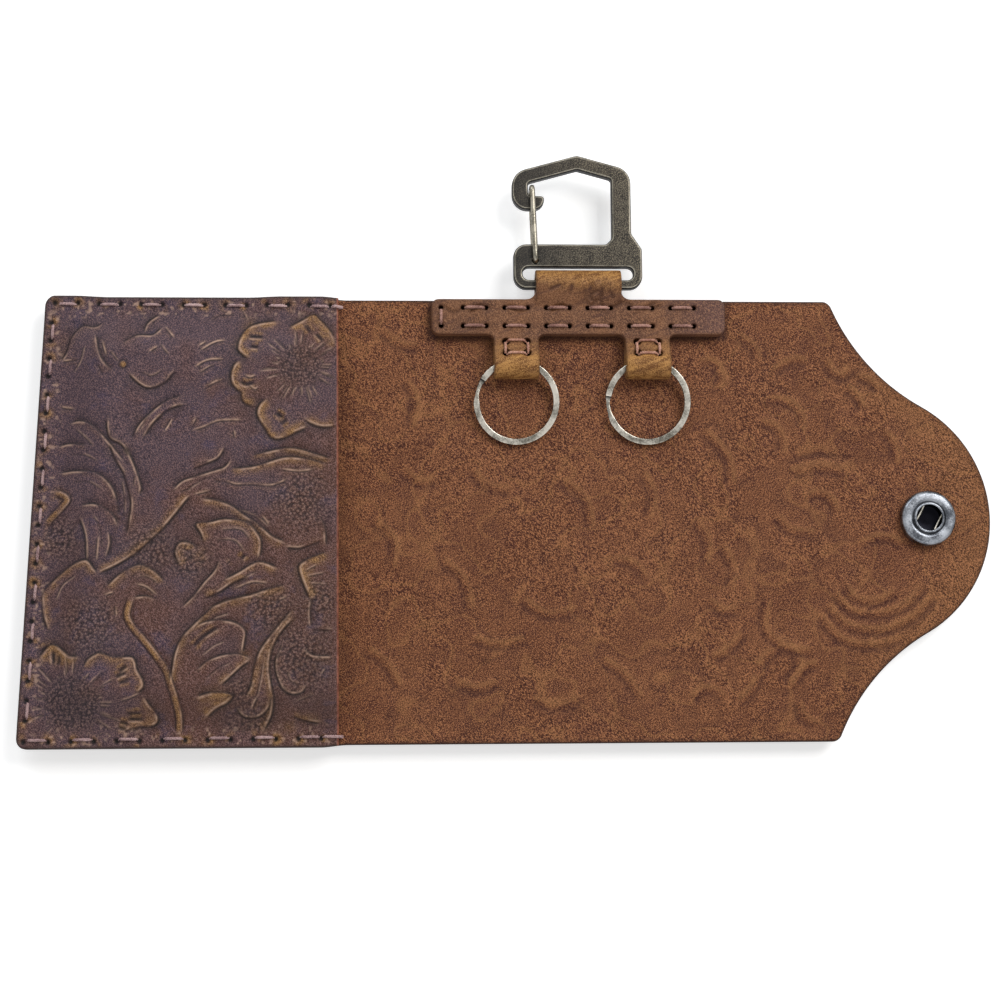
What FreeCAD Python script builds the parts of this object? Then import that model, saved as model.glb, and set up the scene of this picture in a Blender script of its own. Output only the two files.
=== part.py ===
import FreeCAD, Part
import math
import os
import Sketcher
from FreeCAD import Placement, Rotation, Vector

# Leather key case with a card pocket, a hook and two split rings, lying open and flat.
# X runs along the open case, Y towards the hook and Z up from the table.
# The origin is the centre of the middle panel's back face.

# Driving sizes in millimetres
SIZES = {
    # Body leather
    "body_height": 98.5,
    "body_leather": 2.0,
    "middle_width": 71.6,
    "left_edge_play": 0.6,
    "left_skew": 5.2,
    "left_corner": 2.2,
    "closing_room": 1.1,
    # Closing flap
    "flap_length": 37.35,
    "flap_shoulder": 2.1,
    "flap_tip_radius": 29.2,
    "flap_neck_radius": 46.7,
    "flap_corner": 1.4,
    # Pocket
    "pocket_leather": 1.8,
    "pocket_room": 4.9,
    "pocket_seam": 3.2,
    "pocket_side_run": 2.2,
    "mouth_inset": 2.0,
    # Sewing
    "thread": 0.9,
    "thread_play": 0.12,
    "thread_lift": 0.02,
    "thread_bend": 0.5,
    "stitch_inset": 1.9,
    "top_row_start": 2.6,
    "top_row_end": 3.3,
    "bottom_row_start": 1.8,
    "bottom_row_end": 5.4,
    "side_row_margin": 5.6,
    "wrap_gap": 1.3,
    "wrap_drop": 0.75,
    # Holder strip with its strap and tabs
    "holder_leather": 1.45,
    "holder_offset": 1.5,
    "strip_inset": 0.2,
    "strip_length": 65.4,
    "strip_height": 8.0,
    "strip_corner": 1.6,
    "strap_width": 19.1,
    "strap_lead": 1.5,
    "strap_reach": 3.4,
    "strap_loop_radius": 1.9,
    "strap_web": 2.0,
    "tab_width": 10.0,
    "tab_spacing": 29.2,
    "tab_offset": 0.6,
    "tab_reach": 7.0,
    "tab_loop_radius": 1.65,
    "tab_web": 1.4,
    "holder_stitch": 5.1,
    "holder_row_inset": 1.95,
    "holder_row_margin": 7.0,
    "end_stitch_inset": 2.1,
    "tab_thread": 0.7,
    "tab_stitch_width": 5.2,
    "tab_stitch_height": 3.3,
    "tab_stitch_drop": 1.5,
    "tab_stitch_corner": 0.55,
    # Split rings
    "ring_outer": 19.0,
    "ring_wire_width": 1.3,
    "ring_turn": 0.57,
    "ring_slit": 0.06,
    "ring_rest_gap": 0.15,
    # Hook
    "hook_width": 28.8,
    "hook_thickness": 2.8,
    "hook_bar": 2.0,
    "hook_slot_width": 24.8,
    "hook_slot_height": 2.9,
    "hook_plate": 5.2,
    "hook_eye_height": 17.0,
    "hook_eye_right": 7.65,
    "hook_eye_left": 11.0,
    "hook_right_bar": 4.4,
    "hook_left_bar": 3.6,
    "hook_rim": 3.3,
    "hook_roof_drop": 7.9,
    "hook_shoulder": 4.0,
    "hook_flare_drop": 1.05,
    "hook_flare_rise": 2.45,
    "hook_inner_bevel": 1.3,
    "hook_base_corner": 2.9,
    "hook_corner": 0.7,
    "hook_edge_round": 0.4,
    "gate_gap": 7.85,
    "nose_height": 3.15,
    "nose_length": 3.6,
    "nose_round": 3.5,
    "nose_tip_round": 2.3,
    # Hook gate
    "gate_wire": 1.2,
    "gate_bend": 0.9,
    "gate_play": 0.25,
    "gate_lift": 1.2,
    "gate_pivot_inset": 4.9,
    "gate_pivot_drop": 3.85,
    "gate_pivot_depth": 1.0,
    "gate_pivot_play": 0.05,
    # Snap fastener
    "snap_reach": 22.9,
    "snap_play": 0.2,
    "cap_radius": 6.1,
    "cap_height": 1.5,
    "cap_rim": 0.6,
    "cap_post_radius": 2.0,
    "cap_head_radius": 2.5,
    "cap_head": 0.35,
    "post_play": 0.1,
    "socket_radius": 6.1,
    "socket_height": 3.2,
    "socket_wall": 2.1,
    "socket_bevel": 0.5,
    "socket_floor": 0.5,
    "socket_bore": 2.85,
    "socket_lip": 0.55,
    "socket_lip_height": 0.5,
    "spring_wire": 0.5,
    "spring_depth": 0.8,
    "spring_seat": 1.5,
    "spring_play": 0.05,
    "stud_flange": 0.9,
    "stud_flange_radius": 4.8,
    "stud_neck_radius": 1.8,
    "stud_neck_play": 0.12,
    "stud_head_radius": 2.35,
    "stud_head_play": 0.2,
    "stud_bore": 1.2,
    "stud_cap": 0.6,
    "post_base": 0.5,
    "post_base_radius": 4.6,
    # Cuts run past the faces by this much
    "overrun": 1.0,
    # Points nearer than this are one place
    "same_place": 0.0001,
}

# Counts and angles
TOP_STITCHES = 7
SIDE_STITCHES = 11
BOTTOM_STITCHES = 7
HOLDER_STITCHES = 6
RING_RAMP_DEGREES = 36
RING_GAP_DEGREES = 3
RING_RAMP_STEPS = 6
RING_LEFT_END_DEGREES = 156
RING_RIGHT_END_DEGREES = 182
LEVEL_FACE_COSINE = 0.99
TUBE_VOLUME_TOLERANCE = 0.001

doc = FreeCAD.newDocument("KeyCase")
sheet = doc.addObject("Spreadsheet::Sheet", "size")
for row, (name, number) in enumerate(SIZES.items(), start=1):
    sheet.set(f"A{row}", name)
    sheet.set(f"B{row}", str(number))
    sheet.setAlias(f"B{row}", name)
doc.recompute()

# Places that several pieces share, as expressions on the sheet
half_height = "(size.body_height / 2)"
middle_edge = "(size.middle_width / 2)"
pocket_rise = "(size.pocket_leather + size.pocket_room)"
tab_outer = "(size.tab_loop_radius + size.holder_leather)"
left_spine = f"({pocket_rise} + 2 * {tab_outer} + size.closing_room)"
left_fold = f"({middle_edge} + {left_spine})"
left_reach = "(size.middle_width - size.left_edge_play)"
snap_stack = "(size.socket_height + size.snap_play + size.stud_flange)"
right_spine = f"({left_spine} + size.body_leather + {snap_stack})"
flap_fold = f"({middle_edge} + {right_spine})"
snap_x = f"({flap_fold} + size.snap_reach)"
stud_x = f"(-({left_fold} + size.middle_width - size.snap_reach))"
mouth_x = f"(-({left_fold} + size.mouth_inset))"
stitch_hole = "(size.thread / 2 + size.thread_play)"
thread_height = "(size.thread / 2 + size.thread_lift)"
strip_top = f"({half_height} - size.strip_inset)"
strip_bottom = f"({strip_top} - size.strip_height)"
strip_front = "(size.body_leather + 2 * size.holder_leather)"
bar_y = f"({strip_top} + size.strap_reach)"
bar_z = "(size.body_leather + size.holder_leather)"
tab_loop_y = f"({strip_bottom} - size.tab_reach)"
tab_loop_z = f"(size.body_leather + {tab_outer})"
tab_places = {
    "left": "(size.holder_offset + size.tab_offset - size.tab_spacing / 2)",
    "right": "(size.holder_offset + size.tab_offset + size.tab_spacing / 2)",
}


def value(expression):
    """Number that an expression on the sheet gives."""
    return float(sheet.evalExpression(str(expression)))


def left_edge(y):
    """Slanted outer edge of the left panel at height y."""
    return f"(-({left_fold} + {left_reach} - size.left_skew * (1 / 2 + ({y}) / size.body_height)))"


# Sketches and features

def new_body(label):
    body = doc.addObject("PartDesign::Body", label)
    body.Label = label
    return body


def sketch_on(body, role, offset="0"):
    """Empty sketch on one of the body's origin planes, moved along its normal."""
    plane = next(feature for feature in body.Origin.OriginFeatures if feature.Role == role)
    sketch = body.newObject("Sketcher::SketchObject", "Sketch")
    sketch.AttachmentSupport = [(plane, "")]
    sketch.MapMode = "FlatFace"
    sketch.setExpression("AttachmentOffset.Base.z", offset)
    return sketch


def constrain(sketch, bindings):
    """Adds (constraint, expression) pairs in one go; an expression of None leaves a plain constraint."""
    first = sketch.ConstraintCount
    sketch.addConstraint([constraint for constraint, _ in bindings])
    for index, (_, expression) in enumerate(bindings, start=first):
        if expression is not None:
            sketch.setExpression(f"Constraints[{index}]", expression)


def at(geometry, position, x, y):
    """Bindings that hold one point of a geometry at x, y."""
    return [
        (Sketcher.Constraint("DistanceX", -1, 1, geometry, position, value(x)), x),
        (Sketcher.Constraint("DistanceY", -1, 1, geometry, position, value(y)), y),
    ]


def joined(one, end, other, start, kind="Coincident"):
    return (Sketcher.Constraint(kind, one, end, other, start), None)


def radius_of(geometry, radius):
    return (Sketcher.Constraint("Radius", geometry, abs(value(radius))), f"abs({radius})")


def arc_between(first, last, radius):
    """Arc of under a half circle from first to last; a negative radius turns clockwise."""
    chord = last - first
    rise = math.sqrt(radius ** 2 - (chord.Length / 2) ** 2)
    across = Vector(-chord.y, chord.x, 0).normalize()
    centre = (first + last) / 2 + across * math.copysign(rise, radius)
    circle = Part.Circle(centre, Vector(0, 0, 1), abs(radius))
    ends = (first, last) if radius > 0 else (last, first)
    angles = [math.atan2(end.y - centre.y, end.x - centre.x) for end in ends]
    return Part.ArcOfCircle(circle, *angles)


def add_outline(sketch, points):
    """Closed outline through points (x, y) or (x, y, radius of the arc that leaves the point)."""
    spots = [Vector(value(point[0]), value(point[1]), 0) for point in points]
    bindings = []
    strokes = []
    for point, first, last in zip(points, spots, spots[1:] + spots[:1]):
        if len(point) == 2:
            strokes.append((sketch.addGeometry(Part.LineSegment(first, last)), 1, 2))
            continue
        radius = value(point[2])
        arc = sketch.addGeometry(arc_between(first, last, radius))
        strokes.append((arc, 1, 2) if radius > 0 else (arc, 2, 1))
        bindings.append(radius_of(arc, point[2]))
    for (one, _, end), (other, start, _) in zip(strokes, strokes[1:] + strokes[:1]):
        bindings.append(joined(one, end, other, start))
    for (geometry, start, _), point in zip(strokes, points):
        bindings += at(geometry, start, point[0], point[1])
    constrain(sketch, bindings)


def add_circles(sketch, places, radius):
    bindings = []
    for x, y in places:
        circle = Part.Circle(Vector(value(x), value(y), 0), Vector(0, 0, 1), value(radius))
        geometry = sketch.addGeometry(circle)
        bindings += at(geometry, 3, x, y)
        bindings.append(radius_of(geometry, radius))
    constrain(sketch, bindings)


def arc_from(centre, radius, first, last):
    """Arc about the centre, counter-clockwise from the direction of first to that of last."""
    angles = [math.atan2(end.y - centre.y, end.x - centre.x) for end in (first, last)]
    return Part.ArcOfCircle(Part.Circle(centre, Vector(0, 0, 1), radius), *angles)


def add_teardrop(sketch, centre, radius, feet, side):
    """Round end about the centre, pointing to side, with tangent straight sides down to the feet.

    The feet are listed from the upper side to the lower one; a pointed drop has one foot.
    """
    middle = Vector(value(centre[0]), value(centre[1]), 0)
    reach = value(radius)
    spots = [Vector(value(x), value(y), 0) for x, y in feet]

    def touch(foot, turn):
        away = foot - middle
        angle = math.atan2(away.y, away.x) + turn * math.acos(reach / away.Length)
        return middle + Vector(math.cos(angle), math.sin(angle), 0) * reach

    top = touch(spots[0], -side)
    low = touch(spots[-1], side)
    ends = (low, top) if side > 0 else (top, low)
    top_end, low_end = (2, 1) if side > 0 else (1, 2)
    arc = sketch.addGeometry(arc_from(middle, reach, *ends))
    sides = [top, *spots, low]
    strokes = [sketch.addGeometry(Part.LineSegment(one, other)) for one, other in zip(sides, sides[1:])]
    bindings = at(arc, 3, *centre) + [radius_of(arc, radius)]
    bindings.append(joined(strokes[0], 1, arc, top_end, "Tangent"))
    bindings.append(joined(strokes[-1], 2, arc, low_end, "Tangent"))
    for one, other, (x, y) in zip(strokes, strokes[1:], feet):
        bindings.append(joined(one, 2, other, 1))
        bindings += at(other, 1, x, y)
    constrain(sketch, bindings)


def pad(body, sketch, length, middle=False):
    feature = body.newObject("PartDesign::Pad", "Pad")
    feature.Profile = sketch
    feature.setExpression("Length", length)
    feature.Midplane = middle
    doc.recompute()
    return feature


def cut_through(body, sketch):
    """Pocket right through the body, both ways from its sketch."""
    before = body.Shape.Volume
    feature = body.newObject("PartDesign::Pocket", "Pocket")
    feature.Profile = sketch
    feature.Type = "ThroughAll"
    feature.Midplane = True
    doc.recompute()
    assert body.Shape.Volume < before, f"{body.Label}: the cut removes nothing"
    return feature


def cut_up(body, sketch, depth):
    """Pocket from the sketch towards +Z."""
    before = body.Shape.Volume
    feature = body.newObject("PartDesign::Pocket", "Pocket")
    feature.Profile = sketch
    feature.setExpression("Length", depth)
    feature.Reversed = True
    doc.recompute()
    assert body.Shape.Volume < before, f"{body.Label}: the cut removes nothing"
    return feature


def upright_edges(shape, places):
    """Names of the edges along Z that stand at the given (x, y) places."""
    near = value("size.same_place")
    spots = [(value(x), value(y)) for x, y in places]
    names = []
    for index, edge in enumerate(shape.Edges, start=1):
        ends = [vertex.Point for vertex in edge.Vertexes]
        if len(ends) != 2 or math.hypot(ends[0].x - ends[1].x, ends[0].y - ends[1].y) > near:
            continue
        if any(math.hypot(ends[0].x - x, ends[0].y - y) < near for x, y in spots):
            names.append(f"Edge{index}")
    return names


def round_edges(body, names, radius):
    base = body.Tip
    feature = body.newObject("PartDesign::Fillet", "Round")
    feature.Base = (base, names)
    feature.setExpression("Radius", radius)
    doc.recompute()
    return feature


def revolved(label, outline, x, y, z):
    """Piece turned about Z from its outline in radius and height, standing at x, y, z."""
    body = new_body(label)
    sketch = sketch_on(body, "XZ_Plane")
    add_outline(sketch, outline)
    feature = body.newObject("PartDesign::Revolution", "Revolution")
    feature.Profile = sketch
    feature.ReferenceAxis = (sketch, ["V_Axis"])
    place(body, x, y, z)
    doc.recompute()
    return body


def place(body, x, y, z):
    for axis, expression in zip("xyz", (x, y, z)):
        body.setExpression(f"Placement.Base.{axis}", expression)


def plate(label, corners):
    """Span of the body leather with this outline."""
    body = new_body(label)
    sketch = sketch_on(body, "XY_Plane")
    add_outline(sketch, corners)
    pad(body, sketch, "size.body_leather")
    return body


def rectangle(x_low, x_high, y_low, y_high):
    return [(x_low, y_low), (x_high, y_low), (x_high, y_high), (x_low, y_high)]


# Stitch holes, in the order in which the thread goes through them

def row_between(first, last, count):
    """Holes spaced evenly from first to last."""
    steps = count - 1
    return [
        tuple(f"({a} + ({b} - {a}) * {index} / {steps})" for a, b in zip(first, last))
        for index in range(count)
    ]


def pocket_rows():
    """Holes of the pocket's three rows: top, side and bottom."""
    top_y = f"({half_height} - size.stitch_inset)"
    low_y = f"(-{top_y})"
    side_top = f"({half_height} - size.side_row_margin)"
    side_low = f"(-{side_top})"
    return {
        "top": row_between(
            (f"({left_edge(top_y)} + size.top_row_start)", top_y),
            (f"({mouth_x} - size.top_row_end)", top_y),
            2 * TOP_STITCHES,
        ),
        "side": row_between(
            (f"({left_edge(side_top)} + size.stitch_inset)", side_top),
            (f"({left_edge(side_low)} + size.stitch_inset)", side_low),
            2 * SIDE_STITCHES,
        ),
        "bottom": row_between(
            (f"({left_edge(low_y)} + size.bottom_row_start)", low_y),
            (f"({mouth_x} - size.bottom_row_end)", low_y),
            2 * BOTTOM_STITCHES,
        ),
    }


def wrap_holes(row):
    """Two holes of the stitch that ties the row's end over the mouth's edge."""
    x, y = row[-1]
    return [(f"({x} + size.wrap_gap)", y), (f"({mouth_x} + size.wrap_drop)", y)]


def holder_holes():
    """Holes along the lower row, up the end stitch and back along the upper row."""
    left = "(size.holder_offset - size.strip_length / 2)"
    gap = (
        f"((size.strip_length - 2 * size.holder_row_margin - {HOLDER_STITCHES} * size.holder_stitch)"
        f" / {HOLDER_STITCHES - 1})"
    )
    along = []
    for index in range(HOLDER_STITCHES):
        start = f"({left} + size.holder_row_margin + {index} * (size.holder_stitch + {gap}))"
        along += [start, f"({start} + size.holder_stitch)"]
    low_y = f"({strip_bottom} + size.holder_row_inset)"
    top_y = f"({strip_top} - size.holder_row_inset)"
    end_x = f"({left} + size.end_stitch_inset)"
    lower = [(x, low_y) for x in reversed(along)]
    upper = [(x, top_y) for x in along]
    return lower + [(end_x, low_y), (end_x, top_y)] + upper


def tab_stitches(place_x):
    """Four stitches of a tab's square: the (x, y) places of both legs of each."""
    half = "(size.tab_stitch_width / 2)"
    corner = "size.tab_stitch_corner"
    top = f"({strip_bottom} - size.tab_stitch_drop)"
    low = f"({top} - size.tab_stitch_height)"
    inner = [f"({place_x} - {half} + {corner})", f"({place_x} + {half} - {corner})"]
    outer = [f"({place_x} - {half})", f"({place_x} + {half})"]
    level = [[(x, y) for x in inner] for y in (top, low)]
    upright = [[(x, f"({top} - {corner})"), (x, f"({low} + {corner})")] for x in outer]
    return level + upright


def tab_holes(place_x):
    """One hole at each corner of a tab's square, which takes a leg of two stitches."""
    half = "(size.tab_stitch_width / 2 - size.tab_stitch_corner / 2)"
    top = f"({strip_bottom} - size.tab_stitch_drop - size.tab_stitch_corner / 2)"
    low = f"({top} - size.tab_stitch_height + size.tab_stitch_corner)"
    return [(f"({place_x} {sign} {half})", y) for sign in "-+" for y in (top, low)]


# Body leather

def cut_grooves(body, rows):
    """Grooves that sink the back runs of the rows' threads flush with the back face."""
    sketch = sketch_on(body, "XY_Plane")
    for row in rows:
        for (x_one, y_one), (x_two, y_two) in zip(row[1::2], row[2::2]):
            level = abs(value(y_one) - value(y_two)) < abs(value(x_one) - value(x_two))
            shift_x, shift_y = ("0", stitch_hole) if level else (stitch_hole, "0")
            add_outline(sketch, [
                (f"({x_one} - {shift_x})", f"({y_one} - {shift_y})"),
                (f"({x_two} - {shift_x})", f"({y_two} - {shift_y})"),
                (f"({x_two} + {shift_x})", f"({y_two} + {shift_y})"),
                (f"({x_one} + {shift_x})", f"({y_one} + {shift_y})"),
            ])
    cut_up(body, sketch, "size.thread + size.thread_lift + size.thread_play")


def make_middle_panel():
    body = plate("middle_panel", rectangle(f"-{middle_edge}", middle_edge, f"-{half_height}", half_height))
    holes = holder_holes()
    sketch = sketch_on(body, "XY_Plane")
    add_circles(sketch, holes, stitch_hole)
    cut_through(body, sketch)
    cut_grooves(body, [holes])
    return body


def make_left_panel():
    corners = [
        (f"-{left_fold}", f"-{half_height}"),
        (f"-{left_fold}", half_height),
        (left_edge(half_height), half_height),
        (left_edge(f"-{half_height}"), f"-{half_height}"),
    ]
    body = plate("left_panel", corners)
    round_edges(body, upright_edges(body.Shape, corners[2:]), "size.left_corner")
    rows = pocket_rows()
    sketch = sketch_on(body, "XY_Plane")
    for row in rows.values():
        add_circles(sketch, row, stitch_hole)
    for row in (rows["top"], rows["bottom"]):
        add_circles(sketch, wrap_holes(row), stitch_hole)
    add_circles(sketch, [(stud_x, "0")], "size.stud_bore + size.post_play")
    cut_through(body, sketch)
    cut_grooves(body, rows.values())
    return body


def make_spine(label, x_low, x_high):
    return plate(label, rectangle(x_low, x_high, f"-{half_height}", half_height))


def make_closing_flap():
    """Tongue of two equal neck curves that run into a round tip."""
    body = new_body("closing_flap")
    sketch = sketch_on(body, "XY_Plane")
    tip_centre = f"({flap_fold} + size.flap_length - size.flap_tip_radius)"
    tip_radius = value("size.flap_tip_radius")
    neck_radius = value("size.flap_neck_radius")
    shoulder_x = f"({flap_fold} + size.flap_shoulder)"
    shoulder = Vector(value(shoulder_x), value(half_height), 0)
    tip = Vector(value(tip_centre), 0, 0)
    # Neck centre: one neck radius from the shoulder, both radii from the tip's centre
    span = shoulder - tip
    along = ((tip_radius + neck_radius) ** 2 - neck_radius ** 2 + span.Length ** 2) / (2 * span.Length)
    aside = math.sqrt((tip_radius + neck_radius) ** 2 - along ** 2)
    unit = Vector(span).normalize()
    neck = tip + unit * along + Vector(unit.y, -unit.x, 0) * aside
    turn = tip + (neck - tip).normalize() * tip_radius

    def mirrored(spot):
        return Vector(spot.x, -spot.y, 0)

    fold = Vector(value(flap_fold), shoulder.y, 0)
    round_tip, top_neck, low_neck, top_edge, fold_edge, low_edge = sketch.addGeometry([
        arc_from(tip, tip_radius, mirrored(turn), turn),
        arc_from(neck, neck_radius, shoulder, turn),
        arc_from(mirrored(neck), neck_radius, mirrored(turn), mirrored(shoulder)),
        Part.LineSegment(shoulder, fold),
        Part.LineSegment(fold, mirrored(fold)),
        Part.LineSegment(mirrored(fold), mirrored(shoulder)),
    ])
    constrain(sketch, [
        radius_of(round_tip, "size.flap_tip_radius"),
        radius_of(top_neck, "size.flap_neck_radius"),
        radius_of(low_neck, "size.flap_neck_radius"),
        joined(top_neck, 2, round_tip, 2, "Tangent"),
        joined(low_neck, 1, round_tip, 1, "Tangent"),
        joined(top_neck, 1, top_edge, 1),
        joined(top_edge, 2, fold_edge, 1),
        joined(fold_edge, 2, low_edge, 1),
        joined(low_edge, 2, low_neck, 2),
        *at(round_tip, 3, tip_centre, "0"),
        *at(top_edge, 1, shoulder_x, half_height),
        *at(fold_edge, 1, flap_fold, half_height),
        *at(fold_edge, 2, flap_fold, f"-{half_height}"),
        *at(low_edge, 2, shoulder_x, f"-{half_height}"),
    ])
    pad(body, sketch, "size.body_leather")
    shoulders = [(shoulder_x, half_height), (shoulder_x, f"-{half_height}")]
    round_edges(body, upright_edges(body.Shape, shoulders), "size.flap_corner")
    sketch = sketch_on(body, "XY_Plane")
    add_circles(sketch, [(snap_x, "0")], "size.cap_post_radius + size.post_play")
    cut_through(body, sketch)
    return body


# Pocket

def make_pocket_panel():
    """Raised front with sloping sides on a sewn border, open at the mouth."""
    body = new_body("pocket_panel")
    slope = "(size.pocket_side_run / size.pocket_room)"
    wall = f"(size.pocket_leather * sqrt(1 + {slope} ^ 2))"

    def outline(inset, mouth):
        top = f"({half_height} - ({inset}))"
        return [
            (mouth, f"-{top}"),
            (mouth, top),
            (f"({left_edge(top)} + ({inset}))", top),
            (f"({left_edge(f'-{top}')} + ({inset}))", f"-{top}"),
        ]

    def level(height, inset, mouth):
        sketch = sketch_on(body, "XY_Plane", f"size.body_leather + {height}")
        add_outline(sketch, outline(inset, mouth))
        return sketch

    def inner_inset(height):
        return f"size.pocket_seam + {wall} + ({height} - size.pocket_leather) * {slope}"

    border = level("0", "0", mouth_x)
    pad(body, border, "size.pocket_leather")
    corners = outline("0", mouth_x)[2:]
    round_edges(body, upright_edges(body.Shape, corners), "size.left_corner")
    foot = level("size.pocket_leather", "size.pocket_seam", mouth_x)
    front = level(pocket_rise, "size.pocket_seam + size.pocket_side_run", mouth_x)
    raised = body.newObject("PartDesign::AdditiveLoft", "Raised")
    raised.Profile = foot
    raised.Sections = [front]
    raised.Ruled = True
    doc.recompute()
    before = body.Shape.Volume
    past_mouth = f"({mouth_x} + size.overrun)"
    low = level("-size.overrun", inner_inset("(-size.overrun)"), past_mouth)
    high = level("size.pocket_room", inner_inset("size.pocket_room"), past_mouth)
    hollow = body.newObject("PartDesign::SubtractiveLoft", "Hollow")
    hollow.Profile = low
    hollow.Sections = [high]
    hollow.Ruled = True
    doc.recompute()
    assert body.Shape.Volume < before, "pocket_panel: the hollow removes nothing"
    rows = pocket_rows()
    sketch = sketch_on(body, "XY_Plane")
    for row in rows.values():
        add_circles(sketch, row, stitch_hole)
    for row in (rows["top"], rows["bottom"]):
        add_circles(sketch, wrap_holes(row)[:1], stitch_hole)
    cut_through(body, sketch)
    return body


# Holder strip

def make_holder_strip():
    """Folded leather cross-piece: strip, strap loop for the hook, two tab loops for the rings."""
    body = new_body("holder_strip")
    left = "(size.holder_offset - size.strip_length / 2)"
    right = "(size.holder_offset + size.strip_length / 2)"
    corner = "size.strip_corner"
    outline = [(f"({left} + {corner})", strip_bottom)]
    web = "size.tab_web"
    for tab_x in tab_places.values():
        low = f"({strip_bottom} - {web})"
        tab_left = f"({tab_x} - size.tab_width / 2)"
        tab_right = f"({tab_x} + size.tab_width / 2)"
        outline += [
            (f"({tab_left} - {web})", strip_bottom, f"-{web}"),
            (tab_left, low),
            (tab_left, strip_bottom),
            (tab_right, strip_bottom),
            (tab_right, low, f"-{web}"),
            (f"({tab_right} + {web})", strip_bottom),
        ]
    outline += [
        (f"({right} - {corner})", strip_bottom, corner),
        (right, f"({strip_bottom} + {corner})"),
        (right, f"({strip_top} - {corner})", corner),
        (f"({right} - {corner})", strip_top),
    ]
    web = "size.strap_web"
    strap_right = "(size.holder_offset + size.strap_width / 2)"
    strap_left = "(size.holder_offset - size.strap_width / 2)"
    high = f"({strip_top} + {web})"
    outline += [
        (f"({strap_right} + {web})", strip_top, f"-{web}"),
        (strap_right, high),
        (strap_right, strip_top),
        (strap_left, strip_top),
        (strap_left, high, f"-{web}"),
        (f"({strap_left} - {web})", strip_top),
        (f"({left} + {corner})", strip_top, corner),
        (left, f"({strip_top} - {corner})"),
        (left, f"({strip_bottom} + {corner})", corner),
    ]
    sketch = sketch_on(body, "XY_Plane", "size.body_leather")
    add_outline(sketch, outline)
    pad(body, sketch, "2 * size.holder_leather")

    strap_outer = "(size.strap_loop_radius + size.holder_leather)"
    lead = f"({strip_top} - size.strap_lead)"
    sketch = sketch_on(body, "YZ_Plane", "size.holder_offset")
    feet = [(lead, strip_front), (lead, "size.body_leather"), (half_height, "size.body_leather")]
    add_teardrop(sketch, (bar_y, bar_z), strap_outer, feet, 1)
    add_teardrop(sketch, (bar_y, bar_z), "size.strap_loop_radius", [(strip_top, bar_z)], 1)
    pad(body, sketch, "size.strap_width", middle=True)

    for tab_x in tab_places.values():
        sketch = sketch_on(body, "YZ_Plane", tab_x)
        feet = [(strip_bottom, strip_front), (strip_bottom, "size.body_leather")]
        add_teardrop(sketch, (tab_loop_y, tab_loop_z), tab_outer, feet, -1)
        add_teardrop(sketch, (tab_loop_y, tab_loop_z), "size.tab_loop_radius", [(strip_bottom, bar_z)], -1)
        pad(body, sketch, "size.tab_width", middle=True)

    sketch = sketch_on(body, "XY_Plane")
    add_circles(sketch, holder_holes(), stitch_hole)
    corner_hole = "(size.tab_stitch_corner * sqrt(2) / 2 + size.tab_thread / 2 + size.thread_play)"
    for tab_x in tab_places.values():
        add_circles(sketch, tab_holes(tab_x), corner_hole)
    cut_through(body, sketch)
    return body


# Threads

def rounded_path(points, radius):
    """Wire of straight runs through the points, joined by tangent arcs."""
    edges = []
    last = points[0]
    for before, corner, after in zip(points, points[1:], points[2:]):
        back = (before - corner).normalize()
        ahead = (after - corner).normalize()
        half_turn = (math.pi - back.getAngle(ahead)) / 2
        setback = radius * math.tan(half_turn)
        arc_start = corner + back * setback
        arc_end = corner + ahead * setback
        inward = (back + ahead).normalize()
        arc_middle = corner + inward * (radius / math.cos(half_turn) - radius)
        edges.append(Part.LineSegment(last, arc_start).toShape())
        edges.append(Part.Arc(arc_start, arc_middle, arc_end).toShape())
        last = arc_end
    edges.append(Part.LineSegment(last, points[-1]).toShape())
    return Part.Wire(edges)


def tube(points, diameter, bend):
    """Round thread or wire along the points."""
    path = rounded_path(points, bend)
    section = Part.Wire(Part.Circle(points[0], points[1] - points[0], diameter / 2).toShape())
    solid = path.makePipeShell([section], True, False)
    expected = math.pi * (diameter / 2) ** 2 * path.Length
    assert abs(solid.Volume / expected - 1) < TUBE_VOLUME_TOLERANCE, "a tube's volume is off"
    return solid


def sewn(holes, front, back):
    """Running stitch: up through the first hole, along the front, down, along the back and so on."""
    points = []
    for index, (x, y) in enumerate(holes):
        levels = (back, front) if index % 2 == 0 else (front, back)
        points += [Vector(value(x), value(y), level) for level in levels]
    return tube(points, value("size.thread"), value("size.thread_bend"))


def shaped_piece(label, shape, placement=Placement()):
    piece = doc.addObject("Part::Feature", label)
    piece.Label = label
    piece.Shape = shape
    piece.Placement = placement
    return piece


def make_pocket_threads():
    rows = pocket_rows()
    front = value(f"size.body_leather + size.pocket_leather + {thread_height}")
    back = value(thread_height)
    pieces = []
    for side, row in rows.items():
        solids = [sewn(row, front, back)]
        if side != "side":
            solids.append(sewn(wrap_holes(row), front, 0))
        pieces.append(shaped_piece(f"pocket_thread_{side}", Part.makeCompound(solids)))
    return pieces


def make_holder_thread():
    front = value(f"{strip_front} + {thread_height}")
    back = value(thread_height)
    return shaped_piece("holder_thread", sewn(holder_holes(), front, back))


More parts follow.
